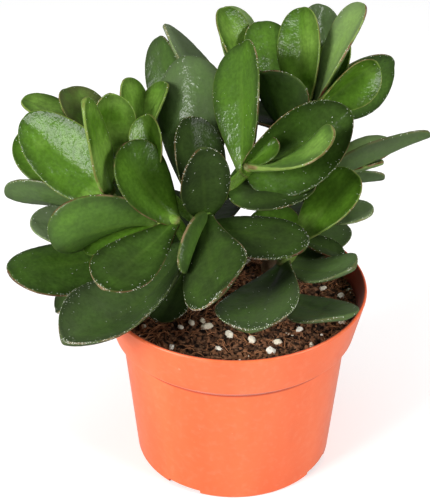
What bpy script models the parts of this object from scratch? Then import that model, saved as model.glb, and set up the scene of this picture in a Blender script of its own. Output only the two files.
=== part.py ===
"""A jade plant in a round plastic nursery pot.

The pot stands on the ground plane with its axis on Z.  Five leafy stems stand in
plain holes in the potting mix.  Each stem is one solid: its wood, its green shoots
and its thick leaves are joined.  Leaves grow in pairs from the stem's nodes.

Lengths in the tables are millimetres, angles are degrees, and objects are in metres.
"""

import math
from dataclasses import dataclass

import bmesh
import bpy
import numpy as np
from mathutils import Vector

MM = 0.001
FIT_GAP = 0.3
HOLE_GAP = 0.5

# Pot
RIM_RADIUS = 60.0
POT_HEIGHT = 88.5
BASE_RADIUS = 45.8
BODY_TOP_RADIUS = 51.5
COLLAR_RADIUS = 55.2
COLLAR_DEPTH = 21.0
SHOULDER_DEPTH = 24.2
WALL = 1.3
FOOT_ROUNDING = 1.9
FOOT_TURN = 80.0
FOOT_STEPS = 2
ROLL_HEIGHT = 1.6
ROLL_INSET = 0.5
POT_SIDES = 52
SLOT_COUNT = 4
SLOT_WIDTH = 17.0
SLOT_HEIGHT = 2.6
SLOT_DEPTH = 6.0
SLOT_FIRST_YAW = 240.5

# Potting mix
MIX_LEVEL = 79.0
MIX_RELIEF = 1.5
SWELL_SHARE = 0.6
MIX_RINGS = 9
MIX_SIDES = 40
HOLE_DEPTH = 14.0

# Stems and leaves
WOOD_RADIUS = 4.6
SHOOT_RADIUS = 2.5
GREEN_SHARE = 0.87
STEM_SIDES = 8
STEM_STEP = 9.0
EDGE_HALF = 0.4
BODY_THICKNESS = 1.2
BODY_PER_LENGTH = 0.045
BODY_PER_HALF_WIDTH = 1.2
TIP_THINNING = 0.45
UPPER_SWELL = 0.35
LOWER_SWELL = 0.65
LEAF_STATIONS = (0.0, 0.2, 0.45, 0.67, 0.84, 0.95, 0.992)
UPPER_LANES = (-1.0, -0.5, 0.0, 0.5, 1.0)
LOWER_LANES = (0.7, 0.0, -0.7)
CREASE = 0.4
NECK = 0.22
TIP_POWER = 0.5
CURVE_STEPS = 48
SCRAP_LIMIT = 40

# Colours
LEAF_GREEN = (0.045, 0.13, 0.022)
POT_ORANGE = (0.86, 0.21, 0.10)
MIX_BROWN = (0.035, 0.016, 0.009)


@dataclass(frozen=True)
class Leaf:
    """One leaf: the node it grows from, where it points and its form.

    Yaw turns from +X towards +Y, and pitch rises from the level.  Roll and twist
    turn the blade about its own length, arch bends it upwards towards its tip,
    sweep bends it sideways, and cup lifts both margins.  Bulge is where along its
    length the blade is widest.
    """

    name: str
    node: str
    yaw: float
    pitch: float
    length: float
    width: float
    roll: float = 0.0
    arch: float = -10.0
    cup: float = 14.0
    twist: float = 0.0
    sweep: float = 0.0
    bulge: float = 0.65


@dataclass(frozen=True)
class Stem:
    """One leafy stem: its nodes, the routes of wood through them and its leaves."""

    name: str
    nodes: dict
    routes: tuple
    leaves: tuple


FRONT = Stem(
    "jade_front",
    {
        "root": (-11, 6.5, 66), "foot": (-13, 2, 83), "low": (-20, -9.5, 105),
        "knee": (-20, -9, 113.5), "fork": (-14, -4, 120), "crown": (-13, -5, 127),
        "left": (-26, -9.8, 126), "left_tip": (-33, -9, 126.3),
        "behind": (-32, 6, 133), "side": (-35, 2.5, 143.1), "side_tip": (-43, 26, 145.4),
        "bend": (-3, -1, 138), "right": (4, 1, 145), "right_tip": (6, -4, 151),
    },
    (("root", "foot", "low", "knee", "fork", "crown"), ("knee", "left", "left_tip"),
     ("fork", "behind", "side", "side_tip"), ("crown", "bend", "right", "right_tip")),
    (
        Leaf("skirt_left", "knee", 222, -15, 75, 40, 7, 56, 26, -28, -12, 0.64),
        Leaf("skirt_under", "low", 240, -32, 31, 22, 0, 14),
        Leaf("fork_back", "fork", 109, 66, 49, 26, 22, -12, 18, -7),
        Leaf("fork_right", "fork", 333, 5, 50, 28, 10, 0, 2, -6, -2, 0.63),
        Leaf("crown_front", "crown", 278, -7, 54, 33, 36, 34, -2, 15, 5, 0.72),
        Leaf("crown_back", "crown", 82, 104, 39, 22, 30, -10, 16, 12, 2, 0.60),
        Leaf("crown_young", "crown", 254, -20, 34, 15, 84, -48, 20, 20),
        Leaf("left_up", "left", 171, 57, 42, 29, -28, 17, 11, 9, 0, 0.68),
        Leaf("left_down", "left", 235, -8, 51, 27, -13, 10, 11, 0, -3, 0.73),
        Leaf("left_tip_over", "left_tip", 195, -9, 48, 31, 66, -45, 20, 40),
        Leaf("left_tip_under", "left_tip", 185, -22, 36, 17, -22, -14, 11, -5),
        Leaf("side_up", "side", 111, 58, 26, 18, -56, -16, 16, -6),
        Leaf("side_tip_left", "side_tip", 115, 64, 30, 19, 32, -7, 8, 6),
        Leaf("side_tip_right", "side_tip", 40, 58, 30, 20, -16, -15, 14, -3),
        Leaf("side_tip_back", "side_tip", 106, -4, 29, 20),
        Leaf("bend_right", "bend", 355, 6, 38, 29, 24, 2, 16, -16, 4, 0.56),
        Leaf("right_up", "right", 92, 51, 58, 30, -50, -20, 18, -9, 0, 0.68),
        Leaf("right_out", "right", 7, 32, 53, 31, 71, 21, 38, -30, 0, 0.54),
        Leaf("right_bud_up", "right_tip", 356, 44, 17, 11, 36, -8, 10, 6),
        Leaf("right_bud_out", "right_tip", 344, 33, 44, 19, 2, 50, 0, 40, 16, 0.70),
    ),
)

LEFT = Stem(
    "jade_left",
    {
        "root": (-30, 9, 66), "foot": (-31, 9, 82), "low": (-36, 10, 96),
        "first": (-42, 3, 101.4), "joint": (-47, 5, 110), "second": (-51, 5, 118),
        "under": (-55, 4, 130), "third": (-56, 0, 135.5), "front": (-54, -8, 141),
        "fourth": (-57, 17, 143.3), "tip": (-61, 26, 149.1),
    },
    (("root", "foot", "low", "first", "joint", "second", "third", "fourth", "tip"),
     ("second", "under"), ("third", "front")),
    (
        Leaf("low_left", "low", 196, -25, 54, 25, 6, -52),
        Leaf("low_back", "low", 140, -2, 42, 27, -6),
        Leaf("first_left", "first", 201, 3, 61, 36, -11, 12, -4, 22, 9, 0.69),
        Leaf("first_back", "first", 20, 4, 25, 22, -8),
        Leaf("second_left", "second", 172, 10, 54, 28, 46, -28, 6, 36, 0, 0.53),
        Leaf("second_low", "joint", 184, 11, 45, 25, -15, 1, 5, 6),
        Leaf("second_back", "second", 95, 4, 45, 27),
        Leaf("third_out", "front", 147, 25, 51, 28, -52, 7, 12, -5, -3, 0.48),
        Leaf("third_under", "under", 152, 22, 52, 27, -45, 0, 12, 0),
        Leaf("third_up", "front", 221, 77, 47, 21, -54, -5, 3, 8, 0, 0.52),
        Leaf("fourth_up", "fourth", 57, 82, 30, 21, 59, -10, 30, 0, 0, 0.60),
        Leaf("fourth_left", "fourth", 138, 44, 36, 25, 6, -12, 16, 10),
        Leaf("tip_left", "tip", 171, 23, 38, 21, -1, -2, 11, -3, 0, 0.63),
        Leaf("tip_up", "tip", 78, 40, 15, 11),
        Leaf("tip_back", "tip", 130, 6, 32, 20),
    ),
)

BACK = Stem(
    "jade_back",
    {
        "root": (-13, 27, 66), "foot": (-13, 26, 82), "low": (-14, 21, 102),
        "fork": (-17, 14, 122), "rear": (-23, 42, 141), "rear_tip": (-25, 46, 147),
        "inner": (-11, 31, 138), "inner_high": (-5, 41, 153.5), "inner_tip": (5, 42, 162),
        "inner_end": (6, 46, 159), "near": (-17, 6.5, 127.5),
    },
    (("root", "foot", "low", "fork", "rear", "rear_tip"),
     ("low", "inner", "inner_high", "inner_tip"), ("inner_high", "inner_end"), ("fork", "near")),
    (
        Leaf("low_left", "low", 136, -2, 50, 31, 5),
        Leaf("low_back", "low", 84, -8, 46, 29),
        Leaf("fork_up", "near", 100, 55, 65, 34, -27, -13, -14, -10, -2, 0.68),
        Leaf("rear_up", "rear", 117, 53, 48, 23, -63, -5, 18, -16, -3, 0.61),
        Leaf("rear_back", "rear", 116, -6, 42, 26),
        Leaf("inner_left", "inner_high", 137, 40, 50, 26, 24, 0, 8, 21, 1, 0.60),
        Leaf("inner_back", "inner_high", 114, -2, 40, 25),
        Leaf("inner_tip_up", "inner_tip", 126, 60, 41, 19, 17, -14, 18, -22, 0, 0.67),
        Leaf("inner_tip_rear", "inner_end", 115, 55, 43, 22, 15, -9, 15, 5),
        Leaf("inner_tip_back", "inner_end", 96, 8, 32, 20),
    ),
)

TALL = Stem(
    "jade_tall",
    {
        "root": (16, 25, 66), "foot": (17, 24, 82), "low": (18, 22, 100),
        "middle": (21, 23, 121), "upper": (23, 27, 137), "high": (24, 30, 151),
        "top": (30, 33, 158.5), "right_tip": (36, 34, 161.5), "left_tip": (18, 37, 160),
        "rear_tip": (31, 43, 152), "right_rear": (38, 40, 157),
    },
    (("root", "foot", "low", "middle", "upper", "high", "top", "right_tip"),
     ("top", "right_rear"), ("high", "left_tip"), ("high", "rear_tip")),
    (
        Leaf("low_back", "low", 70, -6, 50, 31),
        Leaf("middle_right", "middle", 42, -16, 46, 28, 0, 10),
        Leaf("middle_back", "middle", 100, 0, 40, 25),
        Leaf("upper_back", "upper", 56, 2, 46, 28),
        Leaf("high_front", "high", 178, 66, 31, 28, 56, -2, 21, -16, 0, 0.61),
        Leaf("high_back", "high", 131, -5, 37, 21),
        Leaf("high_rear", "high", 70, 6, 44, 26),
        Leaf("top_up", "top", 93, 57, 47, 22, -39, -9, 16, 6),
        Leaf("top_rear", "rear_tip", 74, 58, 51, 23, 34, -10, 16, 4),
        Leaf("right_tip_up", "right_tip", 38, 60, 49, 20, -18, -13, 15, 28),
        Leaf("right_tip_rear", "right_rear", 50, 60, 33, 20, -10, -7, 16, -9),
        Leaf("right_tip_out", "right_tip", 2, 39, 33, 20, 104, -2, 36, -28, -2, 0.61),
        Leaf("right_tip_under", "right_rear", 32, 15, 42, 29, 89, -10, 13, 22, 0, 0.60),
        Leaf("left_tip_up", "left_tip", 107, 51, 39, 23, 4, -11),
    ),
)

RIGHT = Stem(
    "jade_right",
    {
        "root": (18, -15, 66), "foot": (20, -13, 82), "low": (21, -11, 90),
        "first": (22, -8, 104), "second": (28, -2, 113), "third": (34, 12, 121),
        "fourth": (40, 19, 134), "tip": (43, 22, 141), "under": (40, 25, 129),
        "rear": (39, 31, 124.5),
    },
    (("root", "foot", "low", "first", "second", "third", "fourth", "tip"),
     ("third", "under"), ("third", "rear")),
    (
        Leaf("low_right", "low", 306, 16, 46, 28, 0, 30, 4, -16, 0, 0.70),
        Leaf("first_front", "first", 253, 0, 54, 36, 20, 4, 12, -24, 5, 0.71),
        Leaf("first_out", "first", 318, 22, 42, 23, 6, 40, 12, 8, 4, 0.70),
        Leaf("first_right", "first", 50, 5, 41, 26, 14, -12, 13, -8),
        Leaf("second_left", "second", 150, 10, 25, 24, -35, 13, 0, 21, 0, 0.55),
        Leaf("second_right", "second", 24, 45, 39, 26, 9, -3, 9, 3, 0, 0.67),
        Leaf("second_small", "second", 350, -18, 22, 14),
        Leaf("third_right", "third", 338, 9, 29, 19, 10, 12, 2, -20),
        Leaf("fourth_out", "fourth", 5, 23, 50, 23, -44, -5, 13, 13, 3, 0.61),
        Leaf("fourth_under", "under", 2, 18, 28, 16, -21, -3, 9),
        Leaf("fourth_rear", "rear", 26, 17, 40, 22, -2),
        Leaf("fourth_low", "under", 6, -1, 28, 17, -46, 2, 6, 9),
        Leaf("tip_back", "tip", 76, 14, 14, 10),
    ),
)

STEMS = (FRONT, LEFT, BACK, TALL, RIGHT)


def blade_half_width(leaf: Leaf, along: np.ndarray) -> np.ndarray:
    """Half the blade's width at fractions of its length: an egg with a narrow neck."""
    rise = TIP_POWER * leaf.bulge / (1 - leaf.bulge)
    peak = leaf.bulge**rise * (1 - leaf.bulge) ** TIP_POWER
    egg = along**rise * (1 - along) ** TIP_POWER / peak
    half = leaf.width / 2 * (NECK * (1 - along) ** 2 + egg)
    return np.maximum(half, 2 * EDGE_HALF)


def heading(yaw: np.ndarray, pitch: np.ndarray) -> np.ndarray:
    """Unit vectors for angles in degrees."""
    turn, rise = np.radians(yaw), np.radians(pitch)
    flat = np.cos(rise)
    return np.stack([flat * np.cos(turn), flat * np.sin(turn), np.sin(rise)], -1)


def blade_frames(leaf: Leaf, along: np.ndarray) -> tuple:
    """Centre line, sideways and upward unit vectors of the blade."""
    steps = (np.arange(CURVE_STEPS) + 0.5) / CURVE_STEPS
    runs = heading(leaf.yaw + leaf.sweep * (steps - 0.5), leaf.pitch + leaf.arch * (steps - 0.5))
    trail = np.vstack([np.zeros(3), np.cumsum(runs, 0)]) * leaf.length / CURVE_STEPS
    marks = np.linspace(0, 1, CURVE_STEPS + 1)
    centre = np.stack([np.interp(along, marks, trail[:, k]) for k in range(3)], -1)
    yaw = leaf.yaw + leaf.sweep * (along - 0.5)
    forward = heading(yaw, leaf.pitch + leaf.arch * (along - 0.5))
    level = heading(yaw + 90, np.zeros_like(along))
    above = np.cross(forward, level)
    roll = np.radians(leaf.roll + leaf.twist * (along - 0.5))[:, None]
    side = np.cos(roll) * level + np.sin(roll) * above
    return centre, side, np.cos(roll) * above - np.sin(roll) * level


def blade_sections(leaf: Leaf, root: tuple) -> np.ndarray:
    """Rings of points round the blade, one ring a station."""
    along = np.array(LEAF_STATIONS)
    centre, side, above = blade_frames(leaf, along)
    half = blade_half_width(leaf, along)
    body = (BODY_THICKNESS + BODY_PER_LENGTH * leaf.length) * (1 - TIP_THINNING * along)
    thick = np.minimum(body, BODY_PER_HALF_WIDTH * half)
    lift = half * math.tan(math.radians(leaf.cup))
    ring = []
    for lane, upper in [(v, True) for v in UPPER_LANES] + [(v, False) for v in LOWER_LANES]:
        fold = lift * (CREASE * abs(lane) + (1 - CREASE) * lane * lane)
        swell = thick * math.sqrt(1 - lane * lane)
        skin_offset = EDGE_HALF + UPPER_SWELL * swell if upper else -EDGE_HALF - LOWER_SWELL * swell
        height = (fold + skin_offset)[:, None]
        ring.append(centre + (half * lane)[:, None] * side + height * above)
    return np.stack(ring, 1) + np.array(root, float)


def tube_sections(points: list, radii: list) -> np.ndarray:
    """Rings of points round a smooth route through the given points."""
    knots = np.array(points, float)
    tangents = np.gradient(knots, axis=0)
    centres, sizes = [], []
    for k in range(len(knots) - 1):
        count = max(2, round(np.linalg.norm(knots[k + 1] - knots[k]) / STEM_STEP))
        for t in np.arange(count) / count:
            blend = np.array([2 * t**3 - 3 * t**2 + 1, t**3 - 2 * t**2 + t,
                              3 * t**2 - 2 * t**3, t**3 - t**2])
            centres.append(blend @ np.array([knots[k], tangents[k], knots[k + 1], tangents[k + 1]]))
            sizes.append(radii[k] + (radii[k + 1] - radii[k]) * t)
    centres.append(knots[-1])
    sizes.append(radii[-1])
    centres = np.array(centres)
    forward = np.gradient(centres, axis=0)
    forward /= np.linalg.norm(forward, axis=1)[:, None]
    across = np.cross(forward, (0.0, 1.0, 0.0))
    across /= np.linalg.norm(across, axis=1)[:, None]
    other = np.cross(forward, across)
    rings = []
    for angle in np.arange(STEM_SIDES) * 2 * math.pi / STEM_SIDES:
        spoke = math.cos(angle) * across + math.sin(angle) * other
        rings.append(centres + np.array(sizes)[:, None] * spoke)
    return np.stack(rings, 1)


def stem_radius(stem: Stem, label: str) -> float:
    """Woody at the root, slim and green at the tips."""
    heights = [place[2] for place in stem.nodes.values()]
    share = (stem.nodes[label][2] - min(heights)) / (max(heights) - min(heights))
    return WOOD_RADIUS + (SHOOT_RADIUS - WOOD_RADIUS) * min(1.0, share / GREEN_SHARE)


def skin(name: str, sections: np.ndarray) -> bpy.types.Object:
    """A closed solid lofted through rings of points, in millimetres."""
    mesh = bmesh.new()
    rings = [[mesh.verts.new(Vector(point) * MM) for point in ring] for ring in sections]
    sides = len(rings[0])
    for lower, upper in zip(rings, rings[1:]):
        for k in range(sides):
            nxt = (k + 1) % sides
            mesh.faces.new((lower[k], lower[nxt], upper[nxt], upper[k]))
    for ring, flip in ((rings[0], True), (rings[-1], False)):
        mesh.faces.new(ring[::-1] if flip else ring)
    bmesh.ops.recalc_face_normals(mesh, faces=mesh.faces)
    bmesh.ops.triangulate(mesh, faces=mesh.faces)
    data = bpy.data.meshes.new(name)
    mesh.to_mesh(data)
    mesh.free()
    item = bpy.data.objects.new(name, data)
    bpy.context.scene.collection.objects.link(item)
    return item


def finish(item: bpy.types.Object, colour: tuple, roughness: float) -> None:
    """Give an object its own plain material and smooth shading."""
    material = bpy.data.materials.new(item.name + "_finish")
    material.use_nodes = True
    shader = material.node_tree.nodes["Principled BSDF"]
    shader.inputs["Base Color"].default_value = (*colour, 1.0)
    shader.inputs["Roughness"].default_value = roughness
    shader.inputs["Metallic"].default_value = 0.0
    item.data.materials.clear()
    item.data.materials.append(material)
    item.data.shade_smooth()
    item.data.set_sharp_from_angle(angle=math.radians(40))


def apply_modifiers(item: bpy.types.Object) -> None:
    """Replace an object's mesh with its evaluated one."""
    graph = bpy.context.evaluated_depsgraph_get()
    solid = bpy.data.meshes.new_from_object(item.evaluated_get(graph))
    item.modifiers.clear()
    item.data = solid


def drop_scraps(item: bpy.types.Object) -> None:
    """Keep the largest shell: drop the loose scraps and fill the sealed hollows of a join."""
    mesh = bmesh.new()
    mesh.from_mesh(item.data)
    waiting, shells = set(mesh.verts), []
    while waiting:
        shell, edge = set(), [waiting.pop()]
        while edge:
            vertex = edge.pop()
            shell.add(vertex)
            for link in vertex.link_edges:
                other = link.other_vert(vertex)
                if other in waiting:
                    waiting.remove(other)
                    edge.append(other)
        shells.append(shell)
    shells.sort(key=len)
    scraps = [vertex for shell in shells[:-1] for vertex in shell]
    if len(scraps) > SCRAP_LIMIT:
        raise ValueError(f"{item.name} is in pieces: {[len(shell) for shell in shells]}")
    bmesh.ops.delete(mesh, geom=scraps, context="VERTS")
    mesh.to_mesh(item.data)
    mesh.free()


def build_stem(stem: Stem) -> bpy.types.Object:
    """Loft a stem's wood and leaves and join them into one solid."""
    pieces = []
    for count, route in enumerate(stem.routes):
        radii = [stem_radius(stem, label) for label in route]
        if count:
            radii[0] = SHOOT_RADIUS
        sections = tube_sections([stem.nodes[label] for label in route], radii)
        pieces.append(skin(f"{stem.name}_wood_{count}", sections))
    for leaf in stem.leaves:
        pieces.append(skin(f"{stem.name}_{leaf.name}", blade_sections(leaf, stem.nodes[leaf.node])))
    body = pieces.pop(0)
    body.name = stem.name
    group = bpy.data.collections.new(stem.name + "_parts")
    for piece in pieces:
        group.objects.link(piece)
    union = body.modifiers.new("join", "BOOLEAN")
    union.operation = "UNION"
    union.solver = "EXACT"
    union.operand_type = "COLLECTION"
    union.collection = group
    apply_modifiers(body)
    drop_scraps(body)
    for piece in pieces:
        bpy.data.objects.remove(piece)
    bpy.data.collections.remove(group)
    finish(body, LEAF_GREEN, 0.38)
    return body


def turned(name: str, profile: list, sides: int) -> bpy.types.Object:
    """Turn a profile of (radius, height), both ends on the axis, into a solid."""
    mesh = bmesh.new()
    points = [mesh.verts.new(Vector((radius, 0.0, height)) * MM) for radius, height in profile]
    edges = [mesh.edges.new(pair) for pair in zip(points, points[1:])]
    bmesh.ops.spin(mesh, geom=points + edges, cent=(0, 0, 0), axis=(0, 0, 1),
                   angle=2 * math.pi, steps=sides, use_merge=True)
    bmesh.ops.remove_doubles(mesh, verts=mesh.verts, dist=1e-6)
    bmesh.ops.recalc_face_normals(mesh, faces=mesh.faces)
    data = bpy.data.meshes.new(name)
    mesh.to_mesh(data)
    mesh.free()
    item = bpy.data.objects.new(name, data)
    bpy.context.scene.collection.objects.link(item)
    return item


def cut(item: bpy.types.Object, cutter: bpy.types.Object) -> None:
    """Cut one solid out of another and remove the cutter."""
    cutter.hide_render = True
    cutter.display_type = "WIRE"
    difference = item.modifiers.new("cut", "BOOLEAN")
    difference.operation = "DIFFERENCE"
    difference.solver = "EXACT"
    difference.object = cutter
    apply_modifiers(item)
    bpy.data.objects.remove(cutter)


def foot_arc(radius: float, rounding: float) -> list:
    """The rounded corner between a flat floor and the wall."""
    centre = radius - rounding
    turns = [math.radians(FOOT_TURN * k / FOOT_STEPS - 90) for k in range(FOOT_STEPS + 1)]
    return [(centre + rounding * math.cos(t), rounding + rounding * math.sin(t)) for t in turns]


def inner_profile(clearance: float, top: float) -> list:
    """The pot's inner surface from its floor's centre up to a level, moved inwards."""
    floor = WALL + clearance
    lower = [(0.0, floor)]
    for radius, height in foot_arc(BASE_RADIUS - WALL, FOOT_ROUNDING - WALL):
        lower.append((radius - clearance, height + floor))
    shoulder = POT_HEIGHT - SHOULDER_DEPTH
    lower.append((BODY_TOP_RADIUS - WALL - clearance, shoulder - WALL))
    lower.append((COLLAR_RADIUS - WALL - clearance, POT_HEIGHT - COLLAR_DEPTH - WALL))
    slope = (RIM_RADIUS - COLLAR_RADIUS) / COLLAR_DEPTH
    radius = COLLAR_RADIUS + slope * (top - POT_HEIGHT + COLLAR_DEPTH)
    lower.append((radius - WALL - clearance, top))
    return lower


def build_pot() -> bpy.types.Object:
    """A thin-walled pot with a deep collar, a rolled lip and slots round its foot."""
    outer = [(0.0, 0.0)] + foot_arc(BASE_RADIUS, FOOT_ROUNDING)
    outer.append((BODY_TOP_RADIUS, POT_HEIGHT - SHOULDER_DEPTH))
    outer.append((COLLAR_RADIUS, POT_HEIGHT - COLLAR_DEPTH))
    outer.append((RIM_RADIUS - ROLL_INSET / 2, POT_HEIGHT - ROLL_HEIGHT))
    outer.append((RIM_RADIUS, POT_HEIGHT - ROLL_HEIGHT / 2))
    outer.append((RIM_RADIUS - ROLL_INSET, POT_HEIGHT))
    inner = inner_profile(0.0, POT_HEIGHT)
    pot = turned("pot", outer + inner[::-1], POT_SIDES)
    for count in range(SLOT_COUNT):
        yaw = math.radians(SLOT_FIRST_YAW + 360 * count / SLOT_COUNT)
        out = Vector((math.cos(yaw), math.sin(yaw), 0.0))
        mesh = bmesh.new()
        bmesh.ops.create_cube(mesh, size=MM)
        bmesh.ops.scale(mesh, verts=mesh.verts, vec=(2 * SLOT_DEPTH, SLOT_WIDTH, 2 * SLOT_HEIGHT))
        bmesh.ops.rotate(mesh, verts=mesh.verts, cent=(0, 0, 0),
                         matrix=out.to_track_quat("X", "Z").to_matrix())
        bmesh.ops.translate(mesh, verts=mesh.verts, vec=out * BASE_RADIUS * MM)
        data = bpy.data.meshes.new("slot")
        mesh.to_mesh(data)
        mesh.free()
        slot = bpy.data.objects.new("slot", data)
        bpy.context.scene.collection.objects.link(slot)
        cut(pot, slot)
    finish(pot, POT_ORANGE, 0.42)
    return pot


def mix_height(x: float, y: float) -> float:
    """Level of the crumbly surface: broad swells under small lumps."""
    swell = math.sin(0.11 * x + 0.7) * math.cos(0.13 * y - 0.4)
    lumps = math.sin(0.53 * x + 0.31 * y) * math.sin(0.47 * y - 0.22 * x + 1.1)
    return MIX_LEVEL + MIX_RELIEF * (SWELL_SHARE * swell + (1 - SWELL_SHARE) * lumps)


def build_mix(stems: tuple) -> bpy.types.Object:
    """The potting mix that fills the pot, with a plain hole for each stem."""
    wall = inner_profile(FIT_GAP, MIX_LEVEL - 2 * MIX_RELIEF)
    edge = wall[-1][0]
    top = [(edge * (1 - k / MIX_RINGS), MIX_LEVEL) for k in range(1, MIX_RINGS)]
    mix = turned("potting_mix", wall + top + [(0.0, MIX_LEVEL)], MIX_SIDES)
    for vertex in mix.data.vertices:
        if vertex.co.z > (MIX_LEVEL - MIX_RELIEF) * MM:
            vertex.co.z = mix_height(vertex.co.x / MM, vertex.co.y / MM) * MM
    for stem in stems:
        route = stem.routes[0]
        points = [np.array(stem.nodes[label], float) for label in route[:2]]
        lean = (points[1] - points[0]) / (points[1][2] - points[0][2])
        base = points[0] - lean * HOLE_GAP
        bore = [base, base + lean * (MIX_LEVEL + HOLE_DEPTH - base[2])]
        sections = tube_sections(bore, [WOOD_RADIUS + HOLE_GAP] * 2)
        cut(mix, skin("bore", sections))
    finish(mix, MIX_BROWN, 0.95)
    return mix


def main() -> None:
    """Build every piece of the potted plant."""
    for item in list(bpy.data.objects):
        bpy.data.objects.remove(item)
    build_pot()
    build_mix(STEMS)
    for stem in STEMS:
        build_stem(stem)


main()
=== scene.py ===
"""The looks of a potted jade plant: fine leaves and wood, pot, potting mix and studio.

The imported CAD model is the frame.  The tables of stems and leaves repeat the CAD source's
layout, in millimetres and degrees.  Meshes are in metres, in the frame's own axes, with
every object at the origin.  In the finishes, two or four numbers in one field are a
smooth fade: from low to high, and what it gives at both, or else 0 and 1.
"""

import logging
import math
from dataclasses import dataclass, field
from enum import Enum

import bmesh
import bpy
import numpy as np
from bpy.types import Material, Mesh, Node, NodeSocket, NodeTree, Object
from mathutils import Matrix, Vector


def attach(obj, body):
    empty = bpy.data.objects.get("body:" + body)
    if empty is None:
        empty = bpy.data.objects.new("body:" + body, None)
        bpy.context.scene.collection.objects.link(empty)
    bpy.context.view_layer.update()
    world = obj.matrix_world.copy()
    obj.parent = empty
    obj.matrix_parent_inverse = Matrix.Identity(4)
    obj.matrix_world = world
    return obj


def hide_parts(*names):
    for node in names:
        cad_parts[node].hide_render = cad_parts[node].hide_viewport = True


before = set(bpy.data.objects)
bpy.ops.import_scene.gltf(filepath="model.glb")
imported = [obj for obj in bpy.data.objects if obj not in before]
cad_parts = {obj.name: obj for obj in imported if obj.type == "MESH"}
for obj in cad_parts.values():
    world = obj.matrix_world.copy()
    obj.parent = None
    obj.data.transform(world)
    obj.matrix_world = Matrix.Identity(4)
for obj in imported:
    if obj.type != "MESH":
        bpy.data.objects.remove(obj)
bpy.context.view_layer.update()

LOG = logging.getLogger("potted_jade")
BODY = "root"
MM = 0.001
FULL_TURN = 2 * math.pi


def angles(sides: int) -> np.ndarray:
    """Even steps round a circle, in radians."""
    return FULL_TURN * np.arange(sides) / sides


def band(count: int, sides: int, start: int = 0) -> np.ndarray:
    """Corners of the faces between closed rings of points.

    Args:
        count: Number of rings.
        sides: Points in each ring.
        start: Index of the first point.

    Returns:
        Rows of four corners, ring by ring.
    """
    index = start + np.arange(count * sides).reshape(count, sides)
    after = np.roll(index, -1, axis=1)
    return np.stack([index[:-1], after[:-1], after[1:], index[1:]], -1).reshape(-1, 4)


def new_object(name: str, mesh: Mesh) -> Object:
    """Put a mesh in the scene as an object at the origin.

    Args:
        name: Name of the object.
        mesh: Its mesh, in metres.

    Returns:
        The object.
    """
    item = bpy.data.objects.new(name, mesh)
    bpy.context.scene.collection.objects.link(item)
    return item


def settle(item: Object, slot: str, *nodes: str) -> None:
    """Let a piece ride on the plant's body and hide the CAD nodes that it stands for.

    Args:
        item: The finished piece.
        slot: The record's material slot; not used.
        *nodes: CAD nodes that the piece replaces.
    """
    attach(item, BODY)
    if nodes:
        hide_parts(*nodes)
    LOG.info("%s: %d faces", item.name, len(item.data.polygons))


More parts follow.
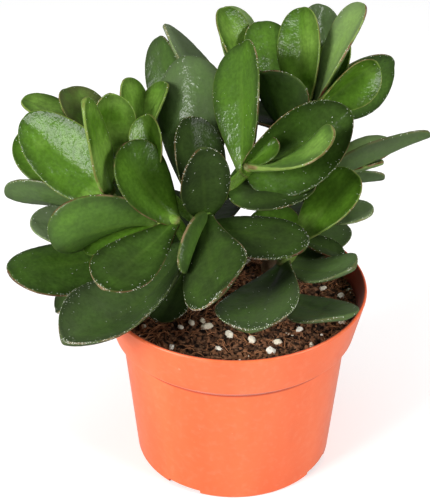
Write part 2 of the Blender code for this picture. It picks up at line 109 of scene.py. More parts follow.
class NodeWriter:
    """Adds nodes to a tree and links them, for materials and geometry alike."""

    def __init__(self, tree: NodeTree) -> None:
        """Write into a shader or geometry node tree."""
        self.tree = tree

    def feed(self, socket: NodeSocket, value: object) -> None:
        """Link a socket to an input, or set the input to a plain value.

        Args:
            socket: The input to feed.
            value: An output socket, or a number, colour, vector or data block.
        """
        if isinstance(value, NodeSocket):
            self.tree.links.new(value, socket)
        elif isinstance(value, tuple) and len(value) == 3 and socket.type == "RGBA":
            socket.default_value = (*value, 1.0)
        else:
            socket.default_value = value

    def add(self, kind: str, settings: dict | None = None, *first: object,
            **inputs: object) -> Node:
        """Add one node.

        Args:
            kind: Blender's name for the node type.
            settings: Properties of the node itself.
            *first: Values or sockets of the first inputs, in order.
            **inputs: Values or sockets by input name, with spaces as underscores.

        Returns:
            The new node.
        """
        node = self.tree.nodes.new(kind)
        for key, value in (settings or {}).items():
            setattr(node, key, value)
        for key, value in (*enumerate(first), *inputs.items()):
            self.feed(node.inputs[key.replace("_", " ") if isinstance(key, str) else key], value)
        return node

    def math(self, operation: str, a: object, b: object = 0.0, clamp: bool = False) -> object:
        """One arithmetic step on two values or sockets, by Blender's name for it."""
        settings = {"operation": operation, "use_clamp": clamp}
        return self.add("ShaderNodeMath", settings, a, b).outputs[0]

    def times(self, a: object, b: object) -> object:
        """Product of two values or sockets."""
        return self.math("MULTIPLY", a, b)

    def swing(self, value: object, width: float) -> object:
        """Noise round one half, turned into a swing of a given width round zero."""
        return self.times(self.math("SUBTRACT", value, 0.5), width)

    def radius(self, x: object, y: object) -> object:
        """Distance from the upright axis."""
        return self.math("SQRT", self.math("ADD", self.times(x, x), self.times(y, y)))

    def split(self, vector: object) -> object:
        """A vector's three parts."""
        return self.add("ShaderNodeSeparateXYZ", Vector=vector).outputs

    def vector(self, x: object = 0.0, y: object = 0.0, z: object = 0.0) -> object:
        """Three values or sockets as one vector."""
        return self.add("ShaderNodeCombineXYZ", X=x, Y=y, Z=z).outputs[0]

    def scaled(self, vector: object, factor: object) -> object:
        """A vector times a number."""
        settings = {"operation": "SCALE"}
        return self.add("ShaderNodeVectorMath", settings, vector, Scale=factor).outputs[0]

    def blend(self, factor: object, a: object, b: object, mode: str = "MIX") -> object:
        """Blend two colours.

        Args:
            factor: Share of the second colour.
            a: First colour or socket.
            b: Second colour or socket.
            mode: Blender's name for the blend.

        Returns:
            The colour socket.
        """
        node = self.add("ShaderNodeMix", {"data_type": "RGBA", "blend_type": mode})
        for index, item in ((0, factor), (6, a), (7, b)):
            self.feed(node.inputs[index], item)
        return node.outputs[2]

    def dim(self, colour: object, share: object) -> object:
        """A colour times a number."""
        grey = self.add("ShaderNodeCombineColor", Red=share, Green=share, Blue=share)
        return self.blend(1.0, colour, grey.outputs[0], "MULTIPLY")

    def fade(self, value: object, low: float, high: float,
             start: float = 0.0, end: float = 1.0) -> object:
        """Map low to high smoothly onto start to end, held at both ends."""
        settings = {"interpolation_type": "SMOOTHSTEP"}
        return self.add("ShaderNodeMapRange", settings, value, low, high, start, end).outputs[0]

    def noise(self, where: object, size: float, detail: float = 3.0) -> object:
        """Fractal noise round one half, in blotches of a size and with some finer octaves."""
        node = self.add("ShaderNodeTexNoise", Vector=where, Scale=1.0 / size, Detail=detail)
        return node.outputs["Fac"] if "Fac" in node.outputs else node.outputs["Factor"]

    def attribute(self, name: str) -> object:
        """Read a named number of the mesh in a material."""
        return self.add("ShaderNodeAttribute", {"attribute_name": name}).outputs["Fac"]

    def ramp(self, value: object, stops: tuple) -> object:
        """Look a value up in a ramp of colours.

        Args:
            value: The socket to look up.
            stops: Pairs of place and colour, in order.

        Returns:
            The colour socket.
        """
        node = self.add("ShaderNodeValToRGB", Fac=value)
        points = node.color_ramp.elements
        while len(points) < len(stops):
            points.new(0.5)
        for point, (place, colour) in zip(points, stops):
            point.position, point.color = place, (*colour, 1.0)
        return node.outputs["Color"]


class Surface(NodeWriter):
    """A material in the making, with its shader and its bumps."""

    def __init__(self, name: str) -> None:
        """Start a material.

        Args:
            name: The material's name.
        """
        self.material = bpy.data.materials.new(name)
        self.material.use_nodes = True
        super().__init__(self.material.node_tree)
        self.shader = self.tree.nodes["Principled BSDF"]
        self.where = self.add("ShaderNodeTexCoord").outputs["Object"]
        self.normal = None

    def bump(self, height: object, distance: float, strength: float = 1.0) -> None:
        """Add a bump on top of those already there.

        Args:
            height: Socket with the height.
            distance: Depth in metres that a height of one stands for.
            strength: Share of the effect.
        """
        node = self.add("ShaderNodeBump", Height=height, Distance=distance, Strength=strength)
        if self.normal is not None:
            self.feed(node.inputs["Normal"], self.normal)
        self.normal = node.outputs["Normal"]

    def finish(self, colour: object, roughness: object, **values: float) -> Material:
        """Connect the shader and hand the material over.

        Args:
            colour: Base colour socket.
            roughness: Roughness socket or number.
            **values: Plain numbers for other shader inputs, with spaces as underscores.

        Returns:
            The finished material.
        """
        self.feed(self.shader.inputs["Base Color"], colour)
        self.feed(self.shader.inputs["Roughness"], roughness)
        for key, value in values.items():
            self.shader.inputs[key.replace("_", " ")].default_value = value
        if self.normal is not None:
            self.feed(self.shader.inputs["Normal"], self.normal)
        return self.material


@dataclass(frozen=True)
class LeafFinish:
    """Waxy leaf skin: green by age, veins, grey bloom, midrib, pale band, reddish margin, with painted shade
    towards the margin and a partly painted glow in the pale band.
    """

    greens: tuple = (
        (0.0, (0.17, 0.30, 0.05)),
        (0.25, (0.060, 0.138, 0.010)),
        (0.55, (0.040, 0.090, 0.010)),
        (0.8, (0.026, 0.050, 0.009)),
        (1.0, (0.013, 0.022, 0.006)),
    )
    age_swing: float = 0.6
    neck_youth: tuple = (0.0, 0.3, -0.35, 0.0)
    blotch: float = 16 * MM
    grain: float = 1.6 * MM
    grain_shade: tuple = (0.3, 0.7, 0.86, 1.13)
    # Darker towards the margin and lighter in the middle: partly the leaf's own tone, partly painted shade
    # of the curved blade.
    margin_tone_and_shade: tuple = (0.3, 5.5, 0.58, 1.14)
    vein_gap: float = 1.3 * MM
    vein_run: float = 14 * MM
    vein_shade: tuple = (0.3, 0.7, -0.07, 0.07)
    vein_ageing: tuple = (0.2, 1.0, 1.0, 0.5)
    vein_depth: float = 0.05 * MM
    bloom_grey: tuple = (0.17, 0.225, 0.12)
    bloom_patches: tuple = (0.25, 0.75, 0.7, 1.0)
    back_bloom: float = 0.10
    russet_brown: tuple = (0.075, 0.050, 0.026)
    russet_blotch: float = 7 * MM
    russet_patches: tuple = (0.35, 0.6, 0.45, 0.95)
    rib_green: tuple = (0.12, 0.22, 0.03)
    rib_width: tuple = (0.0, 0.14, 0.34, 0.0)
    rib_length: tuple = (0.3, 0.95, 1.0, 0.0)
    rib_ageing: tuple = (0.3, 1.0, 1.0, 0.15)
    # A paler band inside the margin of young leaves: partly their own colour, partly painted glow of light
    # through the thin edge.
    pale_rim_glow: tuple = (0.24, 0.36, 0.07)
    light_width: tuple = (0.1, 0.8, 0.55, 0.0)
    light_ageing: tuple = (0.2, 0.45, 1.0, 0.15)
    rim_red: tuple = (0.10, 0.032, 0.018)
    rim_tan: tuple = (0.26, 0.165, 0.095)
    line_width: tuple = (0.06, 0.42, 1.0, 0.0)
    line_blotch: float = 9 * MM
    line_patches: tuple = (0.42, 0.56, 0.08, 1.15)
    tan_blotch: float = 13 * MM
    tan_patches: tuple = (0.44, 0.6)
    dent_size: float = 6 * MM
    dent_depth: float = 0.9 * MM
    dent_share: float = 0.7
    pore_size: float = 1.05 * MM
    pore_depth: float = 0.10 * MM
    matt: tuple = (0.3, 0.7, 0.42, 0.5)
    wax_matt: float = 0.14
    coat: float = 0.42

    def build(self) -> Material:
        """Build the material.

        Returns:
            The leaf material, which reads the leaf mesh's named numbers.
        """
        w = Surface("jade_leaf")
        where = w.where
        age, rim, lane, along = (w.attribute(key) for key in ("age", "rim", "lane", "along"))
        broad, fine = w.noise(where, self.blotch, 2.0), w.noise(where, self.grain, 4.0)
        years = w.math("ADD", age, w.swing(broad, self.age_swing))
        years = w.math("ADD", years, w.fade(along, *self.neck_youth), clamp=True)
        run = w.times(w.attribute("reach"), self.vein_gap / self.vein_run)
        veins = w.noise(w.vector(w.attribute("across"), run, w.attribute("phase")), self.vein_gap)
        streak = w.times(w.fade(veins, *self.vein_shade), w.fade(age, *self.vein_ageing))
        colour = w.dim(w.ramp(years, self.greens),
                       w.math("ADD", w.fade(fine, *self.grain_shade), streak))
        # Partly painted shade: the colour darkens towards the margin.
        colour = w.dim(colour, w.fade(rim, *self.margin_tone_and_shade))
        wax = w.times(w.attribute("bloom"), w.fade(broad, *self.bloom_patches))
        grey = w.math("MAXIMUM", wax, w.times(w.attribute("under"), self.back_bloom))
        colour = w.blend(grey, colour, self.bloom_grey)
        stain = w.fade(w.noise(where, self.russet_blotch), *self.russet_patches)
        colour = w.blend(w.times(w.attribute("russet"), stain), colour, self.russet_brown)
        rib = w.times(w.fade(lane, *self.rib_width), w.fade(along, *self.rib_length))
        colour = w.blend(w.times(rib, w.fade(age, *self.rib_ageing)), colour, self.rib_green)
        # Partly painted light: the pale band inside the margin stands in for light shining through the thin
        # edge.
        light = w.times(w.fade(rim, *self.light_width), w.fade(age, *self.light_ageing))
        colour = w.blend(light, colour, self.pale_rim_glow)
        patchy = w.fade(w.noise(where, self.line_blotch, 4.0), *self.line_patches)
        line = w.times(w.fade(rim, *self.line_width), w.times(w.attribute("blush"), patchy))
        dry = w.fade(w.noise(where, self.tan_blotch), *self.tan_patches)
        colour = w.blend(line, colour, w.blend(dry, self.rim_red, self.rim_tan))
        w.bump(w.noise(where, self.dent_size, 2.0), self.dent_depth, self.dent_share)
        smooth = w.normal
        w.bump(veins, self.vein_depth)
        pores = w.add("ShaderNodeTexVoronoi", {"feature": "SMOOTH_F1"}, Vector=where,
                      Scale=1.0 / self.pore_size, Smoothness=0.6).outputs["Distance"]
        w.bump(pores, self.pore_depth)
        w.feed(w.shader.inputs["Coat Normal"], w.normal)
        w.feed(w.shader.inputs["Coat Weight"], w.times(w.attribute("gloss"), self.coat))
        w.normal = smooth
        dull = w.math("ADD", w.fade(fine, *self.matt), w.times(wax, self.wax_matt))
        return w.finish(colour, dull, Specular_IOR_Level=0.04, Coat_Roughness=0.21, Coat_IOR=1.5)


@dataclass(frozen=True)
class WoodFinish:
    """Shoots: fresh green at the tips, grey-brown bark with rings below."""

    green: tuple = (0.17, 0.33, 0.035)
    bark: tuple = (0.16, 0.105, 0.06)
    scar: tuple = (0.30, 0.20, 0.10)
    scar_share: float = 0.55
    grain: float = 1.2 * MM
    grain_swing: float = 0.5
    grain_depth: float = 0.5 * MM
    speckle: float = 0.5 * MM
    speckle_shade: tuple = (0.3, 0.7, 0.7, 1.15)
    matt: tuple = (0.0, 1.0, 0.42, 0.8)

    def build(self) -> Material:
        """Build the material.

        Returns:
            The finish of the wood and the green shoots.
        """
        w = Surface("jade_wood")
        fine = w.noise(w.where, self.grain, 5.0)
        share = w.math("ADD", w.attribute("bark"), w.swing(fine, self.grain_swing), clamp=True)
        colour = w.blend(share, self.green, self.bark)
        colour = w.blend(w.times(w.attribute("ring"), self.scar_share), colour, self.scar)
        colour = w.dim(colour, w.fade(w.noise(w.where, self.speckle, 4.0), *self.speckle_shade))
        w.bump(fine, self.grain_depth, 0.8)
        return w.finish(colour, w.fade(share, *self.matt), Specular_IOR_Level=0.4)


@dataclass(frozen=True)
class PotFinish:
    """Satin moulded plastic in salmon orange, with dust, soft flow marks and painted shade under the collar
    and on the inner wall.
    """

    orange: tuple = (0.78, 0.125, 0.033)
    pale: tuple = (0.82, 0.16, 0.050)
    dust: tuple = (0.90, 0.62, 0.45)
    # Painted shade: the colour of the dark band round the crease under the collar.
    crease_shade: tuple = (0.46, 0.055, 0.018)
    # Painted shade: the darker red of the inner wall above the mix.
    inner_shade_red: tuple = (0.46, 0.050, 0.022)
    flow_size: float = 22 * MM
    flow_squeeze: tuple = (1.0, 1.0, 0.25)
    flow_patches: tuple = (0.3, 0.75)
    flow_depth: float = 0.5 * MM
    fleck_gap: float = 9 * MM
    fleck_width: tuple = (0.05, 0.075, 1.0, 0.0)
    fleck_blotch: float = 30 * MM
    fleck_patches: tuple = (0.52, 0.6)
    fleck_share: float = 0.7
    film_grain: float = 3 * MM
    film_patches: tuple = (0.45, 0.8, 0.0, 0.06)
    crease_height: float = 65.2 * MM
    crease_width: tuple = (1.6 * MM, 2.5 * MM, 0.85, 0.0)
    collar_slope: float = 0.2286
    inner_wall: tuple = (38.7 * MM, 39.2 * MM, 0.8, 0.0)
    inner_top: tuple = (76 * MM, 78 * MM)
    skin_grain: float = 0.6 * MM
    skin_depth: float = 0.05 * MM
    matt_size: float = 7 * MM
    matt: tuple = (0.3, 0.7, 0.34, 0.44)

    def build(self) -> Material:
        """Build the material.

        Returns:
            The pot's plastic, darker and redder on the wall above the mix by painted shade.
        """
        w = Surface("pot_plastic")
        where = w.where
        squeezed = w.add("ShaderNodeMapping", Vector=where, Scale=self.flow_squeeze).outputs[0]
        flow = w.noise(squeezed, self.flow_size)
        colour = w.blend(w.fade(flow, *self.flow_patches), self.orange, self.pale)
        cells = w.add("ShaderNodeTexVoronoi", {"feature": "F1"}, Vector=where,
                      Scale=1.0 / self.fleck_gap).outputs["Distance"]
        rare = w.fade(w.noise(where, self.fleck_blotch, 1.0), *self.fleck_patches)
        fleck = w.times(w.fade(cells, *self.fleck_width), rare)
        colour = w.blend(w.times(fleck, self.fleck_share), colour, self.dust)
        film = w.fade(w.noise(where, self.film_grain, 6.0), *self.film_patches)
        colour = w.blend(film, colour, self.dust)
        x, y, height = w.split(where)
        # Painted shade: a darker band round the crease where the body meets the collar, on the shoulder and
        # the collar's lower edge.
        crease = w.math("ABSOLUTE", w.math("SUBTRACT", height, self.crease_height))
        colour = w.blend(w.fade(crease, *self.crease_width), colour, self.crease_shade)
        # Painted shade: the inner wall darker and redder from just above the mix up to the rim.
        past = w.math("SUBTRACT", w.radius(x, y), w.times(height, self.collar_slope))
        inside = w.times(w.fade(past, *self.inner_wall), w.fade(height, *self.inner_top))
        colour = w.blend(inside, colour, self.inner_shade_red)
        w.bump(w.noise(where, self.skin_grain), self.skin_depth, 0.5)
        w.bump(flow, self.flow_depth, 0.3)
        return w.finish(colour, w.fade(w.noise(where, self.matt_size, 4.0), *self.matt),
                        Specular_IOR_Level=0.45, Sheen_Weight=0.28, Sheen_Roughness=0.35)


@dataclass(frozen=True)
class MixFinish:
    """Peat: near black crumbs with brown coir dust."""

    dark: tuple = (0.016, 0.009, 0.006)
    brown: tuple = (0.30, 0.15, 0.08)
    brown_patches: tuple = (0.42, 0.68)
    clump: float = 2.4 * MM
    clump_depth: float = 1.6 * MM
    grain: float = 0.5 * MM
    grain_depth: float = 0.3 * MM

    def build(self) -> Material:
        """Build the material.

        Returns:
            The finish of the potting mix's body.
        """
        w = Surface("potting_mix")
        clumps = w.noise(w.where, self.clump, 6.0)
        w.bump(clumps, self.clump_depth)
        w.bump(w.noise(w.where, self.grain, 4.0), self.grain_depth, 0.8)
        colour = w.blend(w.fade(clumps, *self.brown_patches), self.dark, self.brown)
        return w.finish(colour, 0.95, Specular_IOR_Level=0.15)


@dataclass(frozen=True)
class BitFinish:
    """Small loose bits, each between two colours by its own shade."""

    name: str
    first: tuple
    second: tuple
    roughness: float
    grain: float = 0.4 * MM
    depth: float = 0.15 * MM
    tone_swing: float = 0.6

    def build(self) -> Material:
        """Build the material.

        Returns:
            The finish, which reads the number called shade on each bit.
        """
        w = Surface(self.name)
        blotches = w.swing(w.noise(w.where, 2 * self.grain, 4.0), self.tone_swing)
        tone = w.math("ADD", w.attribute("shade"), blotches, clamp=True)
        w.bump(w.noise(w.where, self.grain, 4.0), self.depth, 0.9)
        colour = w.blend(tone, self.first, self.second)
        return w.finish(colour, self.roughness, Specular_IOR_Level=0.25)


PEAT = BitFinish("peat_crumb", (0.012, 0.007, 0.004), (0.28, 0.125, 0.06), 0.95)
PERLITE = BitFinish("perlite", (0.80, 0.72, 0.55), (0.97, 0.95, 0.86), 0.85)
COIR = BitFinish("coir_fibre", (0.12, 0.04, 0.016), (0.56, 0.25, 0.11), 0.7)
FROST = BitFinish("salt_speck", (0.55, 0.60, 0.48), (0.92, 0.93, 0.86), 0.55)


class GeometryTree(NodeWriter):
    """A Geometry Nodes tree with named inputs and one material at its end."""

    def __init__(self, name: str) -> None:
        """Start a tree.

        Args:
            name: The tree's name.
        """
        super().__init__(bpy.data.node_groups.new(name, "GeometryNodeTree"))
        for way in ("INPUT", "OUTPUT"):
            self.tree.interface.new_socket("Geometry", in_out=way, socket_type="NodeSocketGeometry")
        self.inputs = self.tree.nodes.new("NodeGroupInput")

    def base(self) -> NodeSocket:
        """The geometry that comes in."""
        return self.inputs.outputs["Geometry"]

    def size(self, name: str, value: float | int) -> NodeSocket:
        """Add a named input.

        Args:
            name: What the input is called.
            value: Its default, whose type is the input's.

        Returns:
            The socket that carries it inside the tree.
        """
        kind = "NodeSocketInt" if isinstance(value, int) else "NodeSocketFloat"
        item = self.tree.interface.new_socket(name, in_out="INPUT", socket_type=kind)
        item.default_value = value
        return self.inputs.outputs[name]

    def random(self, low: object, high: object, seed: object) -> object:
        """A random number or vector for each element.

        Args:
            low: Lowest value, or a tuple of lowest values for a vector.
            high: Highest value, or a tuple of highest values.
            seed: Fixed seed of the draw.

        Returns:
            The output socket.
        """
        kind, first, out = ("FLOAT_VECTOR", 0, 0) if isinstance(low, tuple) else ("FLOAT", 2, 1)
        node = self.add("FunctionNodeRandomValue", {"data_type": kind}, Seed=seed)
        self.feed(node.inputs[first], low)
        self.feed(node.inputs[first + 1], high)
        return node.outputs[out]

    def turned(self, vector: object) -> object:
        """A rotation from a vector of three angles."""
        return self.add("FunctionNodeEulerToRotation", Euler=vector).outputs[0]

    def position(self) -> object:
        """Each point's place."""
        return self.add("GeometryNodeInputPosition").outputs[0]

    def real(self, geometry: object) -> object:
        """Copies on points, made real geometry."""
        return self.add("GeometryNodeRealizeInstances", Geometry=geometry).outputs[0]

    def ball(self, radius: float, detail: int) -> object:
        """A plain ball of triangles."""
        return self.add("GeometryNodeMeshIcoSphere", Radius=radius, Subdivisions=detail).outputs["Mesh"]

    def strew(self, density: object, seed: object, shade_seed: int) -> tuple:
        """Points, each with a shade, strewn on the mesh that comes in, and their rotations."""
        spots = self.add("GeometryNodeDistributePointsOnFaces", Mesh=self.base(), Density=density,
                         Seed=seed)
        return self.shade(spots.outputs["Points"], shade_seed), spots.outputs["Rotation"]

    def plant(self, points: object, thing: object, turn: object, scale: object) -> object:
        """A real copy of a thing on each point."""
        return self.real(self.add("GeometryNodeInstanceOnPoints", Points=points, Instance=thing,
                                  Rotation=turn, Scale=scale).outputs[0])

    def roughen(self, geometry: object, grain: float, depth: float) -> object:
        """Push points about by noise, so that no two bits are alike.

        Args:
            geometry: Socket with the geometry.
            grain: Width of the noise's blotches in metres.
            depth: How far a point moves at most, in metres.

        Returns:
            The changed geometry's socket.
        """
        cloud = self.add("ShaderNodeTexNoise", Vector=self.position(), Scale=1.0 / grain, Detail=2.0)
        push = self.add("ShaderNodeVectorMath", {"operation": "SUBTRACT"}, cloud.outputs["Color"],
                        (0.5, 0.5, 0.5)).outputs[0]
        return self.add("GeometryNodeSetPosition", Geometry=geometry,
                        Offset=self.scaled(push, depth)).outputs[0]

    def keep_inside(self, geometry: object, radius: float) -> object:
        """Pull points that lie too far from the axis back.

        Args:
            geometry: Socket with the geometry.
            radius: Greatest distance from the axis in metres.

        Returns:
            The changed geometry's socket.
        """
        x, y, z = self.split(self.position())
        share = self.math("MINIMUM", 1.0, self.math("DIVIDE", radius, self.radius(x, y)))
        return self.add("GeometryNodeSetPosition", Geometry=geometry, Position=self.vector(
            self.times(x, share), self.times(y, share), z)).outputs[0]

    def shade(self, points: object, seed: object) -> object:
        """Store a random number called shade on each point."""
        return self.add("GeometryNodeStoreNamedAttribute", {"data_type": "FLOAT"}, Geometry=points,
                        Name="shade", Value=self.random(0.0, 1.0, seed)).outputs[0]

    def named(self, name: str) -> object:
        """Read a named number of the mesh that comes in."""
        return self.add("GeometryNodeInputNamedAttribute", {"data_type": "FLOAT"},
                        Name=name).outputs["Attribute"]

    def close(self, geometry: object, material: Material) -> "GeometryTree":
        """End the tree with real geometry in one material.

        Args:
            geometry: Socket with the geometry.
            material: The finish of everything in it.

        Returns:
            The tree itself.
        """
        dressed = self.add("GeometryNodeSetMaterial", Geometry=self.real(geometry), Material=material)
        out = self.tree.nodes.new("NodeGroupOutput")
        self.tree.links.new(dressed.outputs[0], out.inputs[0])
        return self

    def run(self, name: str, base: Mesh, **values: float) -> Object:
        """Run the tree on a mesh and keep the result as a plain object.

        Args:
            name: Name of the new piece.
            base: The mesh that the tree reads.
            **values: Named inputs to change.

        Returns:
            The new piece.
        """
        carrier = new_object(name, base)
        modifier = carrier.modifiers.new("build", "NODES")
        modifier.node_group = self.tree
        for item in self.tree.interface.items_tree:
            if item.in_out == "INPUT" and item.name in values:
                modifier[item.identifier] = values[item.name]
        seen = carrier.evaluated_get(bpy.context.evaluated_depsgraph_get())
        made = bpy.data.meshes.new_from_object(seen)
        carrier.modifiers.clear()
        carrier.data = made
        made.name = name
        return carrier


@dataclass
class ClayMesh:
    """Points, faces, materials and named numbers that grow into one mesh."""

    points: list = field(default_factory=list)
    faces: list = field(default_factory=list)
    slots: list = field(default_factory=list)
    numbers: list = field(default_factory=list)

    def loft(self, rings: np.ndarray, slot: int, numbers: dict) -> None:
        """Add a closed tube through rings of points, pointed or flat at its ends.

        Args:
            rings: Array of rings by points by three, in metres.
            slot: Material index of the new faces.
            numbers: Named numbers or arrays of one value a point.
        """
        shape = count, sides = rings.shape[:2]
        quads = band(count, sides, sum(len(part) for part in self.points))
        self.faces += [*quads.tolist(), quads[:sides, 0][::-1].tolist(), quads[-sides:, 3].tolist()]
        self.slots += [slot] * (len(quads) + 2)
        self.points.append(rings.reshape(-1, 3))
        self.numbers.append((shape, numbers))

    def build(self, name: str, *materials: Material) -> Mesh:
        """Make the mesh.

        Args:
            name: The mesh's name.
            *materials: Its materials in slot order.

        Returns:
            The mesh, smooth shaded, with its faces pointing outwards.
        """
        mesh = bpy.data.meshes.new(name)
        mesh.from_pydata(np.vstack(self.points).tolist(), [], self.faces)
        for material in materials:
            mesh.materials.append(material)
        mesh.polygons.foreach_set("material_index", self.slots)
        for key in dict.fromkeys(key for _, part in self.numbers for key in part):
            rows = [np.broadcast_to(part.get(key, 0.0), shape).ravel() for shape, part in self.numbers]
            layer = mesh.attributes.new(key, "FLOAT", "POINT")
            layer.data.foreach_set("value", np.concatenate(rows).astype(np.float32))
        shell = bmesh.new()
        shell.from_mesh(mesh)
        bmesh.ops.recalc_face_normals(shell, faces=shell.faces)
        shell.to_mesh(mesh)
        shell.free()
        mesh.shade_smooth()
        return mesh


@dataclass(frozen=True)
class LeafLook:
    """Age from fresh to old, grey bloom, reddish margin, specks, gloss and russet, each 0 to 1."""

    age: float
    bloom: float
    blush: float
    frost: float
    gloss: float = 1.0
    russet: float = 0.0


class Tone(Enum):
    """How a leaf looks."""

    YOUNG = LeafLook(0.10, 0.0, 0.25, 0.03)
    PALE = LeafLook(0.04, 0.50, 0.85, 0.08)
    BUD = LeafLook(0.19, 0.14, 0.65, 0.10, 0.6)
    FRESH = LeafLook(0.16, 0.0, 0.50, 0.12, 0.6)
    BRIGHT = LeafLook(0.27, 0.0, 0.65, 0.15, 0.5)
    LIT = LeafLook(0.30, 0.0, 0.35, 0.15, 0.6)
    SLEEK = LeafLook(0.37, 0.03, 0.60, 0.30, 1.0)
    RICH = LeafLook(0.42, 0.0, 0.65, 0.20, 0.4)
    MATURE = LeafLook(0.53, 0.04, 0.70, 0.55, 0.5)
    DEEP = LeafLook(0.69, 0.0, 0.60, 0.65, 0.35)
    SATIN = LeafLook(0.60, 0.13, 0.40, 0.20, 0.3)
    OLD = LeafLook(0.79, 0.04, 0.75, 0.80, 0.7)
    # Grey bloom here is partly real wax, partly painted sheen.
    BLOOM_AND_SHEEN = LeafLook(0.74, 0.18, 0.50, 1.0)
    SHADED = LeafLook(0.86, 0.04, 0.50, 0.60, 0.25)
    WAXY = LeafLook(0.58, 0.33, 0.25, 0.25)
    GREY = LeafLook(0.38, 0.80, 0.35, 0.45)
    RUSSET = LeafLook(0.26, 0.10, 0.60, 0.15, 1.0, 0.45)


@dataclass(frozen=True)
class Leaf:
    """One leaf: the node it grows from, its tone, where it points and its form.

    Yaw turns from +X towards +Y, and pitch rises from the level.  Roll and twist turn
    the blade about its own length, arch bends it upwards towards its tip, sweep bends
    it sideways, and cup lifts both margins.  Bulge is where the blade is widest.
    """

    node: str
    tone: Tone
    yaw: float
    pitch: float
    length: float
    width: float
    roll: float = 0.0
    arch: float = -10.0
    cup: float = 14.0
    twist: float = 0.0
    sweep: float = 0.0
    bulge: float = 0.65


@dataclass(frozen=True)
class Stem:
    """One leafy stem: its nodes, the routes of wood through them and its leaves."""

    name: str
    nodes: dict
    routes: tuple
    leaves: tuple


FRONT = Stem(
    "jade_front",
    {
        "root": (-11, 6.5, 66), "foot": (-13, 2, 83), "low": (-20, -9.5, 105),
        "knee": (-20, -9, 113.5), "fork": (-14, -4, 120), "crown": (-13, -5, 127),
        "left": (-26, -9.8, 126), "left_tip": (-33, -9, 126.3),
        "behind": (-32, 6, 133), "side": (-35, 2.5, 143.1), "side_tip": (-43, 26, 145.4),
        "bend": (-3, -1, 138), "right": (4, 1, 145), "right_tip": (6, -4, 151),
    },
    (("root", "foot", "low", "knee", "fork", "crown"), ("knee", "left", "left_tip"),
     ("fork", "behind", "side", "side_tip"), ("crown", "bend", "right", "right_tip")),
    (
        Leaf("knee", Tone.BLOOM_AND_SHEEN, 222, -15, 75, 40, 7, 56, 26, -28, -12, 0.64),
        Leaf("low", Tone.SHADED, 240, -32, 31, 22, 0, 14),
        Leaf("fork", Tone.SHADED, 109, 66, 49, 26, 22, -12, 18, -7),
        Leaf("fork", Tone.OLD, 333, 5, 50, 28, 10, 0, 2, -6, -2, 0.63),
        Leaf("crown", Tone.OLD, 278, -7, 54, 33, 36, 34, -2, 15, 5, 0.72),
        Leaf("crown", Tone.SHADED, 82, 104, 39, 22, 30, -10, 16, 12, 2, 0.60),
        Leaf("crown", Tone.RICH, 254, -20, 34, 15, 84, -48, 20, 20),
        Leaf("left", Tone.RICH, 171, 57, 42, 29, -28, 17, 11, 9, 0, 0.68),
        Leaf("left", Tone.DEEP, 235, -8, 51, 27, -13, 10, 11, 0, -3, 0.73),
        Leaf("left_tip", Tone.RICH, 195, -9, 48, 31, 66, -45, 20, 40),
        Leaf("left_tip", Tone.RICH, 185, -22, 36, 17, -22, -14, 11, -5),
        Leaf("side", Tone.FRESH, 111, 58, 26, 18, -56, -16, 16, -6),
        Leaf("side_tip", Tone.FRESH, 115, 64, 30, 19, 32, -7, 8, 6),
        Leaf("side_tip", Tone.FRESH, 40, 58, 30, 20, -16, -15, 14, -3),
        Leaf("side_tip", Tone.MATURE, 106, -4, 29, 20),
        Leaf("bend", Tone.SHADED, 355, 6, 38, 29, 24, 2, 16, -16, 4, 0.56),
        Leaf("right", Tone.SLEEK, 92, 51, 58, 30, -50, -20, 18, -9, 0, 0.68),
        Leaf("right", Tone.DEEP, 7, 32, 53, 31, 71, 21, 38, -30, 0, 0.54),
        Leaf("right_tip", Tone.RICH, 356, 44, 17, 11, 36, -8, 10, 6),
        Leaf("right_tip", Tone.BUD, 344, 33, 44, 19, 2, 50, 0, 40, 16, 0.70),
    ),
)

LEFT = Stem(
    "jade_left",
    {
        "root": (-30, 9, 66), "foot": (-31, 9, 82), "low": (-36, 10, 96),
        "first": (-42, 3, 101.4), "joint": (-47, 5, 110), "second": (-51, 5, 118),
        "under": (-55, 4, 130), "third": (-56, 0, 135.5), "front": (-54, -8, 141),
        "fourth": (-57, 17, 143.3), "tip": (-61, 26, 149.1),
    },
    (("root", "foot", "low", "first", "joint", "second", "third", "fourth", "tip"),
     ("second", "under"), ("third", "front")),
    (
        Leaf("low", Tone.SHADED, 196, -25, 54, 25, 6, -52),
        Leaf("low", Tone.MATURE, 140, -2, 42, 27, -6),
        Leaf("first", Tone.MATURE, 201, 3, 61, 36, -11, 12, -4, 22, 9, 0.69),
        Leaf("first", Tone.MATURE, 20, 4, 25, 22, -8),
        Leaf("second", Tone.WAXY, 172, 10, 54, 28, 46, -28, 6, 36, 0, 0.53),
        Leaf("joint", Tone.GREY, 184, 11, 45, 25, -15, 1, 5, 6),
        Leaf("second", Tone.MATURE, 95, 4, 45, 27),
        Leaf("front", Tone.LIT, 147, 25, 51, 28, -52, 7, 12, -5, -3, 0.48),
        Leaf("under", Tone.BRIGHT, 152, 22, 52, 27, -45, 0, 12, 0),
        Leaf("front", Tone.FRESH, 221, 77, 47, 21, -54, -5, 3, 8, 0, 0.52),
        Leaf("fourth", Tone.FRESH, 57, 82, 30, 21, 59, -10, 30, 0, 0, 0.60),
        Leaf("fourth", Tone.RUSSET, 138, 44, 36, 25, 6, -12, 16, 10),
        Leaf("tip", Tone.YOUNG, 171, 23, 38, 21, -1, -2, 11, -3, 0, 0.63),
        Leaf("tip", Tone.YOUNG, 78, 40, 15, 11),
        Leaf("tip", Tone.MATURE, 130, 6, 32, 20),
    ),
)

